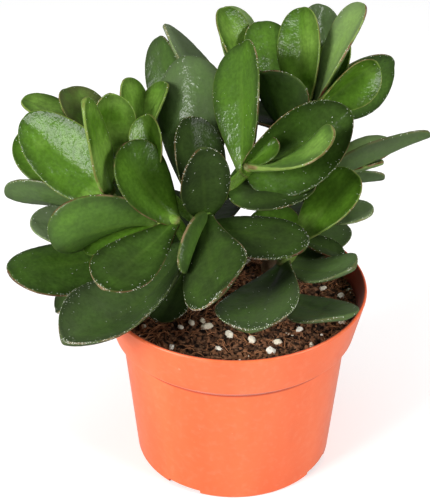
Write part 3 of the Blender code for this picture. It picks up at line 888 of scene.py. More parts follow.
BACK = Stem(
    "jade_back",
    {
        "root": (-13, 27, 66), "foot": (-13, 26, 82), "low": (-14, 21, 102),
        "fork": (-17, 14, 122), "rear": (-23, 42, 141), "rear_tip": (-25, 46, 147),
        "inner": (-11, 31, 138), "inner_high": (-5, 41, 153.5), "inner_tip": (5, 42, 162),
        "inner_end": (6, 46, 159), "near": (-17, 6.5, 127.5),
    },
    (("root", "foot", "low", "fork", "rear", "rear_tip"),
     ("low", "inner", "inner_high", "inner_tip"), ("inner_high", "inner_end"), ("fork", "near")),
    (
        Leaf("low", Tone.OLD, 136, -2, 50, 31, 5),
        Leaf("low", Tone.OLD, 84, -8, 46, 29),
        Leaf("near", Tone.WAXY, 100, 55, 65, 34, -27, -13, -14, -10, -2, 0.68),
        Leaf("rear", Tone.SATIN, 117, 53, 48, 23, -63, -5, 18, -16, -3, 0.61),
        Leaf("rear", Tone.MATURE, 116, -6, 42, 26),
        Leaf("inner_high", Tone.GREY, 137, 40, 50, 26, 24, 0, 8, 21, 1, 0.60),
        Leaf("inner_high", Tone.MATURE, 114, -2, 40, 25),
        Leaf("inner_tip", Tone.FRESH, 126, 60, 41, 19, 17, -14, 18, -22, 0, 0.67),
        Leaf("inner_end", Tone.PALE, 115, 55, 43, 22, 15, -9, 15, 5),
        Leaf("inner_end", Tone.MATURE, 96, 8, 32, 20),
    ),
)

TALL = Stem(
    "jade_tall",
    {
        "root": (16, 25, 66), "foot": (17, 24, 82), "low": (18, 22, 100),
        "middle": (21, 23, 121), "upper": (23, 27, 137), "high": (24, 30, 151),
        "top": (30, 33, 158.5), "right_tip": (36, 34, 161.5), "left_tip": (18, 37, 160),
        "rear_tip": (31, 43, 152), "right_rear": (38, 40, 157),
    },
    (("root", "foot", "low", "middle", "upper", "high", "top", "right_tip"),
     ("top", "right_rear"), ("high", "left_tip"), ("high", "rear_tip")),
    (
        Leaf("low", Tone.OLD, 70, -6, 50, 31),
        Leaf("middle", Tone.OLD, 42, -16, 46, 28, 0, 10),
        Leaf("middle", Tone.MATURE, 100, 0, 40, 25),
        Leaf("upper", Tone.MATURE, 56, 2, 46, 28),
        Leaf("high", Tone.MATURE, 178, 66, 31, 28, 56, -2, 21, -16, 0, 0.61),
        Leaf("high", Tone.OLD, 131, -5, 37, 21),
        Leaf("high", Tone.MATURE, 70, 6, 44, 26),
        Leaf("top", Tone.FRESH, 93, 57, 47, 22, -39, -9, 16, 6),
        Leaf("rear_tip", Tone.WAXY, 74, 58, 51, 23, 34, -10, 16, 4),
        Leaf("right_tip", Tone.PALE, 38, 60, 49, 20, -18, -13, 15, 28),
        Leaf("right_rear", Tone.YOUNG, 50, 60, 33, 20, -10, -7, 16, -9),
        Leaf("right_tip", Tone.BRIGHT, 2, 39, 33, 20, 104, -2, 36, -28, -2, 0.61),
        Leaf("right_rear", Tone.MATURE, 32, 15, 42, 29, 89, -10, 13, 22, 0, 0.60),
        Leaf("left_tip", Tone.SLEEK, 107, 51, 39, 23, 4, -11),
    ),
)

RIGHT = Stem(
    "jade_right",
    {
        "root": (18, -15, 66), "foot": (20, -13, 82), "low": (21, -11, 90),
        "first": (22, -8, 104), "second": (28, -2, 113), "third": (34, 12, 121),
        "fourth": (40, 19, 134), "tip": (43, 22, 141), "under": (40, 25, 129),
        "rear": (39, 31, 124.5),
    },
    (("root", "foot", "low", "first", "second", "third", "fourth", "tip"),
     ("third", "under"), ("third", "rear")),
    (
        Leaf("low", Tone.WAXY, 306, 16, 46, 28, 0, 30, 4, -16, 0, 0.70),
        Leaf("first", Tone.BLOOM_AND_SHEEN, 253, 0, 54, 36, 20, 4, 12, -24, 5, 0.71),
        Leaf("first", Tone.WAXY, 318, 22, 42, 23, 6, 40, 12, 8, 4, 0.70),
        Leaf("first", Tone.WAXY, 50, 5, 41, 26, 14, -12, 13, -8),
        Leaf("second", Tone.RICH, 150, 10, 25, 24, -35, 13, 0, 21, 0, 0.55),
        Leaf("second", Tone.BRIGHT, 24, 45, 39, 26, 9, -3, 9, 3, 0, 0.67),
        Leaf("second", Tone.OLD, 350, -18, 22, 14),
        Leaf("third", Tone.GREY, 338, 9, 29, 19, 10, 12, 2, -20),
        Leaf("fourth", Tone.WAXY, 5, 23, 50, 23, -44, -5, 13, 13, 3, 0.61),
        Leaf("under", Tone.PALE, 2, 18, 28, 16, -21, -3, 9),
        Leaf("rear", Tone.PALE, 26, 17, 40, 22, -2),
        Leaf("under", Tone.WAXY, 6, -1, 28, 17, -46, 2, 6, 9),
        Leaf("tip", Tone.YOUNG, 76, 14, 14, 10),
    ),
)


@dataclass(frozen=True)
class BladeMaker:
    """Turns a leaf's few numbers into a fine skin with a groove, dents and a round margin."""

    edge_half: float = 0.4
    edge_power: float = 0.4
    body: float = 1.2
    body_per_length: float = 0.045
    body_per_half_width: float = 1.2
    tip_thinning: float = 0.45
    upper_swell: float = 0.35
    lower_swell: float = 0.65
    crease: float = 0.4
    neck: float = 0.22
    tip_power: float = 0.5
    tip_round: float = 1.1
    curve_steps: int = 48
    stations: int = 46
    sides: int = 40
    groove_depth: float = 0.35
    groove_width: float = 1.6
    groove_end: float = 1.15
    dent_depth: float = 0.10
    wave_depth: float = 0.28
    wave_length: float = 50.0
    full_groove: float = 6.0
    full_relief: float = 4.0
    tip_margin: float = 0.9
    rim_specks: float = 2.6
    face_specks: float = 0.022
    speck_reach: float = 0.8
    clumps: float = 0.7
    clump_turns: float = 11.0
    lowest_speck: float = -0.2

    def half_width(self, leaf: Leaf, along: np.ndarray) -> np.ndarray:
        """Half the blade's width: an egg with a narrow neck.

        Args:
            leaf: The leaf.
            along: Shares of its length.

        Returns:
            Half widths in millimetres.
        """
        rise = self.tip_power * leaf.bulge / (1 - leaf.bulge)
        peak = leaf.bulge**rise * (1 - leaf.bulge) ** self.tip_power
        egg = along**rise * (1 - along) ** self.tip_power / peak
        return leaf.width / 2 * (self.neck * (1 - along) ** 2 + egg)

    def heading(self, yaw: np.ndarray, pitch: np.ndarray) -> np.ndarray:
        """Unit vectors for angles in degrees."""
        turn, rise = np.radians(yaw), np.radians(pitch)
        return np.stack([np.cos(rise) * np.cos(turn), np.cos(rise) * np.sin(turn), np.sin(rise)], -1)

    def frames(self, leaf: Leaf, along: np.ndarray) -> tuple:
        """Centre line, sideways and upward unit vectors of the blade.

        Args:
            leaf: The leaf.
            along: Shares of its length.

        Returns:
            Three arrays of vectors, the first in millimetres from the leaf's node.
        """
        steps = (np.arange(self.curve_steps) + 0.5) / self.curve_steps - 0.5
        runs = self.heading(leaf.yaw + leaf.sweep * steps, leaf.pitch + leaf.arch * steps)
        trail = np.vstack([np.zeros(3), np.cumsum(runs, 0)]) * leaf.length / self.curve_steps
        marks = np.linspace(0, 1, self.curve_steps + 1)
        centre = np.stack([np.interp(along, marks, trail[:, k]) for k in range(3)], -1)
        yaw = leaf.yaw + leaf.sweep * (along - 0.5)
        forward = self.heading(yaw, leaf.pitch + leaf.arch * (along - 0.5))
        level = self.heading(yaw + 90, np.zeros_like(along))
        above = np.cross(forward, level)
        roll = np.radians(leaf.roll + leaf.twist * (along - 0.5))[:, None]
        side = np.cos(roll) * level + np.sin(roll) * above
        return centre, side, np.cos(roll) * above - np.sin(roll) * level

    def relief(self, leaf: Leaf, reach: np.ndarray, across: np.ndarray, seed: float) -> np.ndarray:
        """Broad waves and small dents of the blade, in millimetres.

        Args:
            leaf: The leaf.
            reach: Distance from the node at each point.
            across: Distance from the midrib at each point.
            seed: The leaf's own phase.

        Returns:
            Height to add along the blade's normal.
        """
        wave = np.sin(0.16 * reach + seed) * np.sin(0.21 * across + 2.3 * seed)
        dent = np.sin(0.83 * reach + 1.7 * across + 3 * seed) * np.sin(1.1 * across - 0.6 * reach + seed)
        fade = np.sin(math.pi * np.clip(reach / leaf.length, 0, 1)) ** 0.5
        return (self.wave_depth * leaf.length / self.wave_length * wave + self.dent_depth * dent) * fade

    def specks(self, leaf: Leaf, along: np.ndarray, lane: np.ndarray, rise: np.ndarray,
               rim: np.ndarray, seed: float) -> np.ndarray:
        """How thickly salt specks stand, most along the margin and in clumps.

        Args:
            leaf: The leaf.
            along: Shares of its length.
            lane: Place across the blade, from -1 to 1.
            rise: Place from its under side, -1, to its top, 1.
            rim: Distance from the margin in millimetres.
            seed: The leaf's own phase.

        Returns:
            Share of the full density at each point.
        """
        spread = np.clip(0.15 + 1.2 * (along - 0.25), 0.1, 1)[:, None]
        wave = np.sin(self.clump_turns * along + 2 * seed)[:, None] * np.sign(lane)
        margin = self.rim_specks * np.exp(-rim / self.speck_reach) * spread * (1 + self.clumps * wave)
        return leaf.tone.value.frost * (margin + self.face_specks) * (rise > self.lowest_speck)

    def rings(self, leaf: Leaf, root: tuple, seed: float) -> tuple:
        """Points round the blade, ring by ring, and the numbers that its finish reads.

        Args:
            leaf: The leaf.
            root: The place of its node in millimetres.
            seed: The leaf's own phase.

        Returns:
            Rings of points in metres, and a dict of named numbers or arrays.
        """
        along = (1 - np.cos(math.pi * np.linspace(0, 1, self.stations))) / 2
        centre, side, above = self.frames(leaf, along)
        left = leaf.length * (1 - along)
        cap = np.sqrt(1 - np.clip(1 - left / self.tip_round, 0, 1) ** 2)
        half = np.maximum(self.half_width(leaf, along), 2 * self.edge_half * cap) + 1e-3
        body = (self.body + self.body_per_length * leaf.length) * (1 - self.tip_thinning * along)
        thick = np.minimum(body, self.body_per_half_width * half) * cap
        lift = half * math.tan(math.radians(leaf.cup))
        turn = angles(self.sides)
        lane, rise = np.cos(turn)[None, :], np.sin(turn)[None, :]
        fold = lift[:, None] * (self.crease * np.abs(lane) + (1 - self.crease) * lane**2)
        share = np.where(rise > 0, self.upper_swell, -self.lower_swell)
        edge = self.edge_half * cap[:, None] * np.sign(rise) * np.abs(rise) ** self.edge_power
        across, reach = half[:, None] * lane, (along * leaf.length)[:, None]
        groove = np.exp(-(across / self.groove_width) ** 2) * np.clip(self.groove_end - along, 0, 1)[:, None]
        groove *= self.groove_depth * np.minimum(1, half / self.full_groove)[:, None]
        height = fold + edge + share * thick[:, None] * np.abs(rise) - groove
        relief = self.relief(leaf, reach, across, seed)
        height = height + relief * np.minimum(1, half / self.full_relief)[:, None]
        points = centre[:, None] + across[..., None] * side[:, None] + height[..., None] * above[:, None]
        look = leaf.tone.value
        rim = np.minimum(half[:, None] * (1 - np.abs(lane)), (left * self.tip_margin)[:, None])
        return (points + np.array(root, float)) * MM, {
            "age": look.age, "bloom": look.bloom, "blush": look.blush, "russet": look.russet,
            "gloss": look.gloss, "rim": rim, "lane": np.abs(lane), "along": along[:, None],
            "under": rise < 0, "frost": self.specks(leaf, along, lane, rise, rim, seed),
            "across": across * MM, "reach": reach * MM, "phase": seed * MM * 10,
        }


@dataclass(frozen=True)
class WoodMaker:
    """Turns a route through nodes into a round shoot with swollen, ringed nodes."""

    base_radius: float = 4.6
    shoot_radius: float = 2.5
    green_share: float = 0.87
    sides: int = 20
    step: float = 0.9
    fewest_steps: int = 3
    swelling: float = 0.10
    ring_width: float = 0.7
    lump: float = 0.03
    bark_top: float = 118.0
    bark_run: float = 30.0

    def radius(self, stem: Stem, label: str) -> float:
        """Woody at the root, slim and green at the tips.

        Args:
            stem: The stem.
            label: One of its nodes.

        Returns:
            The radius there in millimetres.
        """
        heights = [place[2] for place in stem.nodes.values()]
        share = (stem.nodes[label][2] - min(heights)) / (max(heights) - min(heights))
        return self.base_radius + (self.shoot_radius - self.base_radius) * min(1.0, share / self.green_share)

    def rings(self, stem: Stem, route: tuple, first: bool) -> tuple:
        """Rings of points round a smooth route, and the numbers that its finish reads.

        Args:
            stem: The stem.
            route: Labels of the nodes that the route runs through.
            first: Whether this is the stem's main route, which starts thick.

        Returns:
            Rings of points in metres, and a dict of named arrays.
        """
        knots = np.array([stem.nodes[label] for label in route], float)
        radii = [self.radius(stem, label) for label in route]
        if not first:
            radii[0] = self.shoot_radius
        tangents = np.gradient(knots, axis=0)
        centres, sizes, rings = [], [], []
        for k in range(len(knots) - 1):
            run = float(np.linalg.norm(knots[k + 1] - knots[k]))
            count = max(self.fewest_steps, round(run / self.step))
            for t in np.arange(count) / count:
                blend = np.array([2 * t**3 - 3 * t**2 + 1, t**3 - 2 * t**2 + t,
                                  3 * t**2 - 2 * t**3, t**3 - t**2])
                centres.append(blend @ np.array([knots[k], tangents[k], knots[k + 1], tangents[k + 1]]))
                sizes.append(radii[k] + (radii[k + 1] - radii[k]) * t)
                rings.append(min(t, 1 - t) * run)
        centres, sizes = np.array(centres + [knots[-1]]), np.array(sizes + [radii[-1]])
        rings = np.exp(-(np.array(rings + [0.0]) / self.ring_width) ** 2)
        sizes = sizes * (1 + self.swelling * rings)
        forward = np.gradient(centres, axis=0)
        forward /= np.linalg.norm(forward, axis=1)[:, None]
        across = np.cross(forward, (0.0, 1.0, 0.0))
        across /= np.linalg.norm(across, axis=1)[:, None]
        other = np.cross(forward, across)
        turn = angles(self.sides)
        spoke = np.cos(turn)[:, None] * across[:, None] + np.sin(turn)[:, None] * other[:, None]
        lumps = 1 + self.lump * np.sin(3 * turn[None, :] + 0.5 * np.arange(len(centres))[:, None])
        points = centres[:, None] + (sizes[:, None] * lumps)[..., None] * spoke
        bark = np.clip((self.bark_top - centres[:, 2]) / self.bark_run, 0, 1)[:, None]
        return points * MM, {"bark": bark, "ring": rings[:, None]}


@dataclass(frozen=True)
class FrostScatter:
    """Tiny pale salt specks that stand on the leaves, mostly along their margins."""

    density: float = 7.0e5
    smallest: float = 0.09 * MM
    largest: float = 0.23 * MM
    flatness: tuple = (1.0, 0.8, 0.45)

    def tree(self, material: Material) -> GeometryTree:
        """Build the Geometry Nodes tree that scatters the specks.

        Args:
            material: The specks' finish.

        Returns:
            The tree, with its density, sizes and seed as named inputs.
        """
        made = GeometryTree("salt_specks")
        density = made.size("Density", self.density)
        low, high = made.size("Smallest", self.smallest), made.size("Largest", self.largest)
        amount = made.times(made.named("frost"), density)
        points, turn = made.strew(amount, made.size("Seed", 1), 5)
        flat = made.add("GeometryNodeTransform", Geometry=made.ball(1.0, 1), Scale=self.flatness)
        return made.close(made.plant(points, flat.outputs[0], turn, made.random(low, high, 7)), material)


@dataclass(frozen=True)
class JadeStem:
    """One leafy stem as a fine mesh, with its specks."""

    stem: Stem
    seed: int
    skins: tuple
    specks: GeometryTree
    blades: BladeMaker = BladeMaker()
    wood: WoodMaker = WoodMaker()
    stem_phase: float = 1.37
    leaf_phase: float = 2.11

    def mesh(self) -> Mesh:
        """Build the stem's mesh.

        Returns:
            The mesh, with the skin of its leaves and that of its wood.
        """
        clay = ClayMesh()
        for count, route in enumerate(self.stem.routes):
            rings, numbers = self.wood.rings(self.stem, route, count == 0)
            clay.loft(rings, 1, numbers)
        for count, leaf in enumerate(self.stem.leaves):
            phase = self.seed * self.stem_phase + count * self.leaf_phase
            rings, numbers = self.blades.rings(leaf, self.stem.nodes[leaf.node], phase)
            clay.loft(rings, 0, numbers)
        return clay.build(self.stem.name, *self.skins)

    def place(self) -> None:
        """Put the stem and its specks in the scene."""
        name = self.stem.name
        fine = new_object(f"{name}_fine", self.mesh())
        settle(fine, name, name)
        settle(self.specks.run(f"{name}_specks", fine.data.copy(), Seed=self.seed), name)


@dataclass(frozen=True)
class NurseryPot:
    """A thin-walled pot with a deep collar, a rolled lip and slots round its foot."""

    rim_radius: float = 60.0
    height: float = 88.5
    base_radius: float = 45.8
    body_top_radius: float = 51.5
    collar_radius: float = 55.2
    collar_depth: float = 21.0
    shoulder_depth: float = 24.2
    wall: float = 1.3
    foot_rounding: float = 1.9
    foot_turn: float = 80.0
    roll_height: float = 1.6
    roll_inset: float = 0.5
    corner_reach: float = 0.45
    corner_steps: tuple = (0.0, 0.33, 0.67, 1.0)
    slot_count: int = 4
    slot_width: float = 17.0
    slot_height: float = 2.6
    slot_depth: float = 6.0
    slot_first_yaw: float = 240.5
    segments: int = 224
    arc_steps: int = 10
    sharp_angle: float = 38.0

    def foot(self, radius: float, rounding: float, floor: float) -> list:
        """Radii and heights of the rounded corner between a floor and a wall."""
        turns = [math.radians(self.foot_turn * k / self.arc_steps - 90) for k in range(self.arc_steps + 1)]
        return [(radius - rounding + rounding * math.cos(t), floor + rounding + rounding * math.sin(t))
                for t in turns]

    def soften(self, points: list) -> list:
        """Round each corner of a line of points with a small arc.

        Args:
            points: Pairs of radius and height.

        Returns:
            The line with its inner corners rounded.
        """
        out = [points[0]]
        for corner in zip(points, points[1:], points[2:]):
            before, here, after = (np.array(point) for point in corner)
            back, on = before - here, after - here
            gaps = np.linalg.norm(back), np.linalg.norm(on)
            far = min(self.corner_reach, *(self.corner_reach * gap for gap in gaps))
            start, end = here + back / gaps[0] * far, here + on / gaps[1] * far
            for t in self.corner_steps:
                out.append(tuple((1 - t) ** 2 * start + 2 * t * (1 - t) * here + t**2 * end))
        return out + [points[-1]]

    def inner(self, clearance: float, top: float) -> list:
        """The pot's inner surface from its floor's centre up to a level, moved inwards.

        Args:
            clearance: How far it is moved.
            top: The level.

        Returns:
            Pairs of radius and height.
        """
        inset, level = self.wall + clearance, self.height - self.collar_depth
        foot = self.foot(self.base_radius - self.wall, self.foot_rounding - self.wall, inset)
        slope = (self.rim_radius - self.collar_radius) / self.collar_depth
        return [(0.0, inset), *((radius - clearance, height) for radius, height in foot),
                (self.body_top_radius - inset, self.height - self.shoulder_depth - self.wall),
                (self.collar_radius - inset, level - self.wall),
                (self.collar_radius + slope * (top - level) - inset, top)]

    def outline(self) -> list:
        """The pot's whole profile, from the middle of its underside round to its floor."""
        outer = [(0.0, 0.0), *self.foot(self.base_radius, self.foot_rounding, 0.0),
                 (self.body_top_radius, self.height - self.shoulder_depth),
                 (self.collar_radius, self.height - self.collar_depth),
                 (self.rim_radius - self.roll_inset / 2, self.height - self.roll_height),
                 (self.rim_radius, self.height - self.roll_height / 2),
                 (self.rim_radius - self.roll_inset, self.height)]
        return self.soften(outer + self.inner(0.0, self.height)[::-1])

    def tree(self, material: Material) -> GeometryTree:
        """Build the Geometry Nodes tree that turns a profile and cuts the foot slots.

        Args:
            material: The pot's finish.

        Returns:
            The tree, with the number of segments and the slots' sizes as named inputs.
        """
        w = GeometryTree("turned_pot")
        segments, slots = w.size("Segments", self.segments), w.size("Slots", self.slot_count)
        width = w.size("Slot Width", self.slot_width * MM)
        height = w.size("Slot Height", self.slot_height * MM)
        depth = w.size("Slot Depth", self.slot_depth * MM)
        radius = w.size("Foot Radius", self.base_radius * MM)
        first = w.size("First Yaw", math.radians(self.slot_first_yaw))
        count = w.add("GeometryNodeAttributeDomainSize", Geometry=w.base()).outputs["Point Count"]
        grid = w.add("GeometryNodeMeshGrid", Vertices_X=w.math("ADD", segments, 1), Vertices_Y=count)
        index = w.add("GeometryNodeInputIndex").outputs[0]
        turn = w.math("FLOOR", w.math("DIVIDE", w.math("ADD", index, 0.5), count))
        angle = w.times(w.math("DIVIDE", turn, segments), FULL_TURN)
        sample = w.add("GeometryNodeSampleIndex", {"data_type": "FLOAT_VECTOR"}, Geometry=w.base(),
                       Value=w.position(), Index=w.math("MODULO", index, count))
        away, _, up = w.split(sample.outputs[0])
        spot = w.vector(w.times(away, w.math("COSINE", angle)), w.times(away, w.math("SINE", angle)), up)
        lathe = w.add("GeometryNodeSetPosition", Geometry=grid.outputs["Mesh"], Position=spot)
        shell = w.add("GeometryNodeMergeByDistance", Geometry=lathe.outputs[0], Distance=1e-6)
        shell = w.add("GeometryNodeFlipFaces", Mesh=shell.outputs[0])
        ring = w.add("GeometryNodeMeshCircle", Vertices=slots, Radius=radius).outputs[0]
        block = w.add("GeometryNodeMeshCube", Size=w.vector(
            w.times(depth, 2.0), width, w.times(height, 2.0))).outputs["Mesh"]
        yaw = w.times(w.math("DIVIDE", w.add("GeometryNodeInputIndex").outputs[0], slots), FULL_TURN)
        blocks = w.plant(ring, block, w.turned(w.vector(z=yaw)), (1.0, 1.0, 1.0))
        cutters = w.add("GeometryNodeTransform", Geometry=blocks, Rotation=w.turned(w.vector(z=first)))
        cut = w.add("GeometryNodeMeshBoolean", {"operation": "DIFFERENCE", "solver": "EXACT"},
                    Mesh_1=shell.outputs[0], Mesh_2=cutters.outputs[0])
        return w.close(cut.outputs[0], material)

    def place(self, material: Material) -> None:
        """Put the pot in the scene.

        Args:
            material: The pot's finish.
        """
        line = bpy.data.meshes.new("pot_profile")
        line.from_pydata([(radius * MM, 0.0, height * MM) for radius, height in self.outline()], [], [])
        pot = self.tree(material).run("pot_fine", line)
        pot.data.shade_smooth()
        pot.data.set_sharp_from_angle(angle=math.radians(self.sharp_angle))
        settle(pot, "pot", "pot")


@dataclass(frozen=True)
class LooseBits:
    """Lumpy bits scattered on the mix: radii in millimetres, and how lumpy they are."""

    name: str
    density: float
    smallest: float
    largest: float
    detail: int
    lumpiness: float
    seed: int
    slimmest: tuple = (0.6, 0.6, 0.6)
    fullest: tuple = (1.15, 1.15, 1.15)

    def tree(self, material: Material) -> GeometryTree:
        """Build the tree that scatters the bits.

        Args:
            material: The bits' finish.

        Returns:
            The tree, with density, sizes and seed as named inputs.
        """
        made = GeometryTree(self.name)
        amount = made.size("Density", self.density)
        low, high = made.size("Smallest", self.smallest * MM), made.size("Largest", self.largest * MM)
        points, _ = made.strew(amount, made.size("Seed", self.seed), self.seed + 1)
        form = made.scaled(made.random(self.slimmest, self.fullest, self.seed + 3),
                           made.random(low, high, self.seed + 2))
        turn = made.turned(made.random((0.0, 0.0, 0.0), (FULL_TURN,) * 3, self.seed + 4))
        lumps = made.plant(points, made.ball(1.0, self.detail), turn, form)
        size = self.largest * MM
        return made.close(made.roughen(lumps, size, self.lumpiness * size), material)


@dataclass(frozen=True)
class PerliteGrains:
    """The large perlite grains: x, y and radius, placed one by one after the photograph."""

    places: tuple = (
        (-23.5, -23.5, 1.3), (-19, -21, 1.4), (-14, -18.5, 1.5), (-12, -23.5, 1.9), (-18, -9, 1.2),
        (-2, -28, 1.8), (8, -32, 1.5), (19, -33, 2.0), (16, -40, 2.0), (-6.5, -38, 1.1),
        (-27, -37, 1.1), (49, 4.5, 1.7), (53, 9, 1.3), (48, -18, 1.4), (41, 11, 1.2),
        (29, -25, 1.3), (34, -35, 1.2), (38, 24, 1.3), (-40, -22, 1.2), (6, 33, 1.4),
    )
    seed: int = 31
    ball: float = 1.15
    detail: int = 4
    sunk_share: float = 0.35
    slimmest: tuple = (0.75, 0.65, 0.55)
    fullest: tuple = (1.35, 0.95, 0.8)
    lean: float = 0.5
    lumps: tuple = (1.6 * MM, 1.6 * MM)
    grit: tuple = (0.5 * MM, 0.35 * MM)

    def spots(self, ground: "PottingMix") -> Mesh:
        """One point for each grain.

        Args:
            ground: The mix that they lie on.

        Returns:
            A mesh of points, each with a number called size.
        """
        mesh = bpy.data.meshes.new("perlite_spots")
        x, y, size = np.array(self.places).T
        height = ground.height(x, y) + self.sunk_share * size
        mesh.from_pydata((np.stack([x, y, height], -1) * MM).tolist(), [], [])
        mesh.attributes.new("size", "FLOAT", "POINT").data.foreach_set("value", size * MM)
        return mesh

    def tree(self, material: Material, clear_radius: float) -> GeometryTree:
        """Build the tree that sets a lumpy grain on each point of a mesh.

        Args:
            material: The grains' finish.
            clear_radius: How far from the axis they may reach, in metres.

        Returns:
            The tree, with its seed as a named input.
        """
        made = GeometryTree("perlite_grains")
        points = made.shade(made.base(), made.size("Seed", self.seed))
        form = made.scaled(made.random(self.slimmest, self.fullest, self.seed + 1), made.named("size"))
        lean = made.random((-self.lean, -self.lean, 0.0), (self.lean, self.lean, FULL_TURN), self.seed + 2)
        grains = made.plant(points, made.ball(self.ball, self.detail), made.turned(lean), form)
        lumpy = made.roughen(made.roughen(grains, *self.lumps), *self.grit)
        return made.close(made.keep_inside(lumpy, clear_radius), material)


@dataclass(frozen=True)
class CoirFibres:
    """Thin bent fibres strewn on the mix, in millimetres."""

    density: float = 1.2e5
    shortest: float = 3.0
    longest: float = 15.0
    radius: float = 0.13
    points: int = 9
    sides: int = 5
    lean: float = 0.35
    bend: float = 7.0
    seed: int = 51

    def tree(self, material: Material, clear_radius: float) -> GeometryTree:
        """Build the tree that scatters the fibres.

        Args:
            material: Their finish.
            clear_radius: How far from the axis they may reach, in metres.

        Returns:
            The tree, with density, lengths, radius and seed as named inputs.
        """
        w = GeometryTree("coir_fibres")
        amount = w.size("Density", self.density)
        low, high = w.size("Shortest", self.shortest * MM), w.size("Longest", self.longest * MM)
        thick = w.size("Radius", self.radius * MM)
        spots, _ = w.strew(amount, w.size("Seed", self.seed), self.seed + 1)
        line = w.add("GeometryNodeMeshLine", {"mode": "END_POINTS"}, Count=self.points,
                     Start_Location=(-0.5, 0.0, 0.0), Offset=(0.5, 0.0, 0.0)).outputs[0]
        strand = w.add("GeometryNodeMeshToCurve", Mesh=line).outputs[0]
        lean = w.random((0.0, -self.lean, 0.0), (0.0, self.lean, FULL_TURN), self.seed + 2)
        size = w.scaled((1.0, 1.0, 1.0), w.random(low, high, self.seed + 3))
        strands = w.plant(spots, strand, w.turned(lean), size)
        bent = w.keep_inside(w.roughen(strands, self.bend * MM, self.bend * MM), clear_radius)
        ring = w.add("GeometryNodeCurvePrimitiveCircle", Resolution=self.sides, Radius=thick).outputs[0]
        tube = w.add("GeometryNodeCurveToMesh", Curve=bent, Profile_Curve=ring, Fill_Caps=True)
        return w.close(tube.outputs[0], material)


@dataclass(frozen=True)
class PottingMix:
    """The peat that fills the pot, with crumbs, perlite and coir fibres on top."""

    pot: NurseryPot
    level: float = 79.0
    relief: float = 1.5
    swell_share: float = 0.6
    crumb: float = 0.35
    fit_gap: float = 0.3
    clear_radius: float = 55.6
    rings: int = 110
    sides: int = 240
    sheet_inset: float = 1.5
    sheet_rings: int = 24
    sheet_sides: int = 60
    sheet_hole: float = 0.02
    crumbs: LooseBits = LooseBits("peat_crumbs", 2.6e5, 0.4, 1.3, 1, 0.5, 11)
    dust: LooseBits = LooseBits("perlite_dust", 5.0e3, 0.3, 0.8, 2, 0.7, 41)

    def height(self, x: np.ndarray, y: np.ndarray) -> np.ndarray:
        """Level of the crumbly surface: the CAD's swells and lumps under finer crumbs.

        Args:
            x: Places in millimetres.
            y: Places in millimetres.

        Returns:
            Heights in millimetres.
        """
        swell = np.sin(0.11 * x + 0.7) * np.cos(0.13 * y - 0.4)
        lumps = np.sin(0.53 * x + 0.31 * y) * np.sin(0.47 * y - 0.22 * x + 1.1)
        crumbs = np.sin(1.9 * x + 0.8 * y) * np.sin(2.3 * y - 0.9 * x) + 0.6 * np.sin(
            3.7 * x - 1.1 * y + 2) * np.sin(3.1 * y + 1.3 * x)
        return self.level + self.relief * (
            self.swell_share * swell + (1 - self.swell_share) * lumps) + self.crumb * crumbs

    def rounds(self, edge: float, shares: np.ndarray, sides: int) -> list:
        """Rings of points on the surface.

        Args:
            edge: Radius of the outermost ring.
            shares: Each ring's share of that radius.
            sides: Points in a ring.

        Returns:
            Arrays of points in millimetres.
        """
        turn = angles(sides)
        flat = [(edge * share * np.cos(turn), edge * share * np.sin(turn)) for share in shares]
        return [np.stack([x, y, self.height(x, y)], -1) for x, y in flat]

    def body(self, material: Material) -> Mesh:
        """The mix as one closed body that fills the pot.

        Args:
            material: The peat's finish.

        Returns:
            The mesh.
        """
        wall = self.pot.inner(self.fit_gap, self.level - 2 * self.relief)
        turn = angles(self.sides)
        below = [np.stack([r * np.cos(turn), r * np.sin(turn), 0 * turn + z], -1)
                 for r, z in np.maximum(wall, [[1e-3, 0]])]
        above = self.rounds(wall[-1][0], np.linspace(1, 0, self.rings)[:-1], self.sides)
        clay = ClayMesh()
        clay.loft(np.array(below + above) * MM, 0, {})
        return clay.build("potting_mix_fine", material)

    def top(self) -> Mesh:
        """A sheet just inside the rim that the loose bits are scattered on.

        Returns:
            The mesh.
        """
        edge = self.pot.inner(self.fit_gap, self.level)[-1][0] - self.sheet_inset
        rounds = self.rounds(edge, np.linspace(1, self.sheet_hole, self.sheet_rings), self.sheet_sides)
        mesh = bpy.data.meshes.new("mix_top")
        mesh.from_pydata((np.concatenate(rounds) * MM).tolist(), [],
                         band(self.sheet_rings, self.sheet_sides).tolist())
        return mesh

    def place(self, peat: Material) -> None:
        """Put the mix and everything loose on it in the scene.

        Args:
            peat: Finish of the mix's body.
        """
        settle(new_object("potting_mix_fine", self.body(peat)), "potting_mix", "potting_mix")
        clear, grains, white = self.clear_radius * MM, PerliteGrains(), PERLITE.build()
        for name, tree, base in (
            ("peat_crumbs", self.crumbs.tree(PEAT.build()), self.top()),
            ("perlite_grains", grains.tree(white, clear), grains.spots(self)),
            ("perlite_dust", self.dust.tree(white), self.top()),
            ("coir_fibres", CoirFibres().tree(COIR.build(), clear), self.top()),
        ):
            settle(tree.run(name, base), "potting_mix")


@dataclass(frozen=True)
class SoftBox:
    """A square studio light that faces the plant."""

    name: str
    place: tuple
    size: float
    power: float
    aim: tuple = (0.0, 0.0, 0.10)
    mirrored: bool = True

    def build(self) -> None:
        """Add the light."""
        data = bpy.data.lights.new(self.name, "AREA")
        data.shape, data.size, data.energy = "SQUARE", self.size, self.power
        lamp = bpy.data.objects.new(self.name, data)
        lamp.location = self.place
        lamp.rotation_euler = (Vector(self.aim) - Vector(self.place)).to_track_quat("-Z", "Y").to_euler()
        lamp.visible_glossy = self.mirrored
        bpy.context.scene.collection.objects.link(lamp)


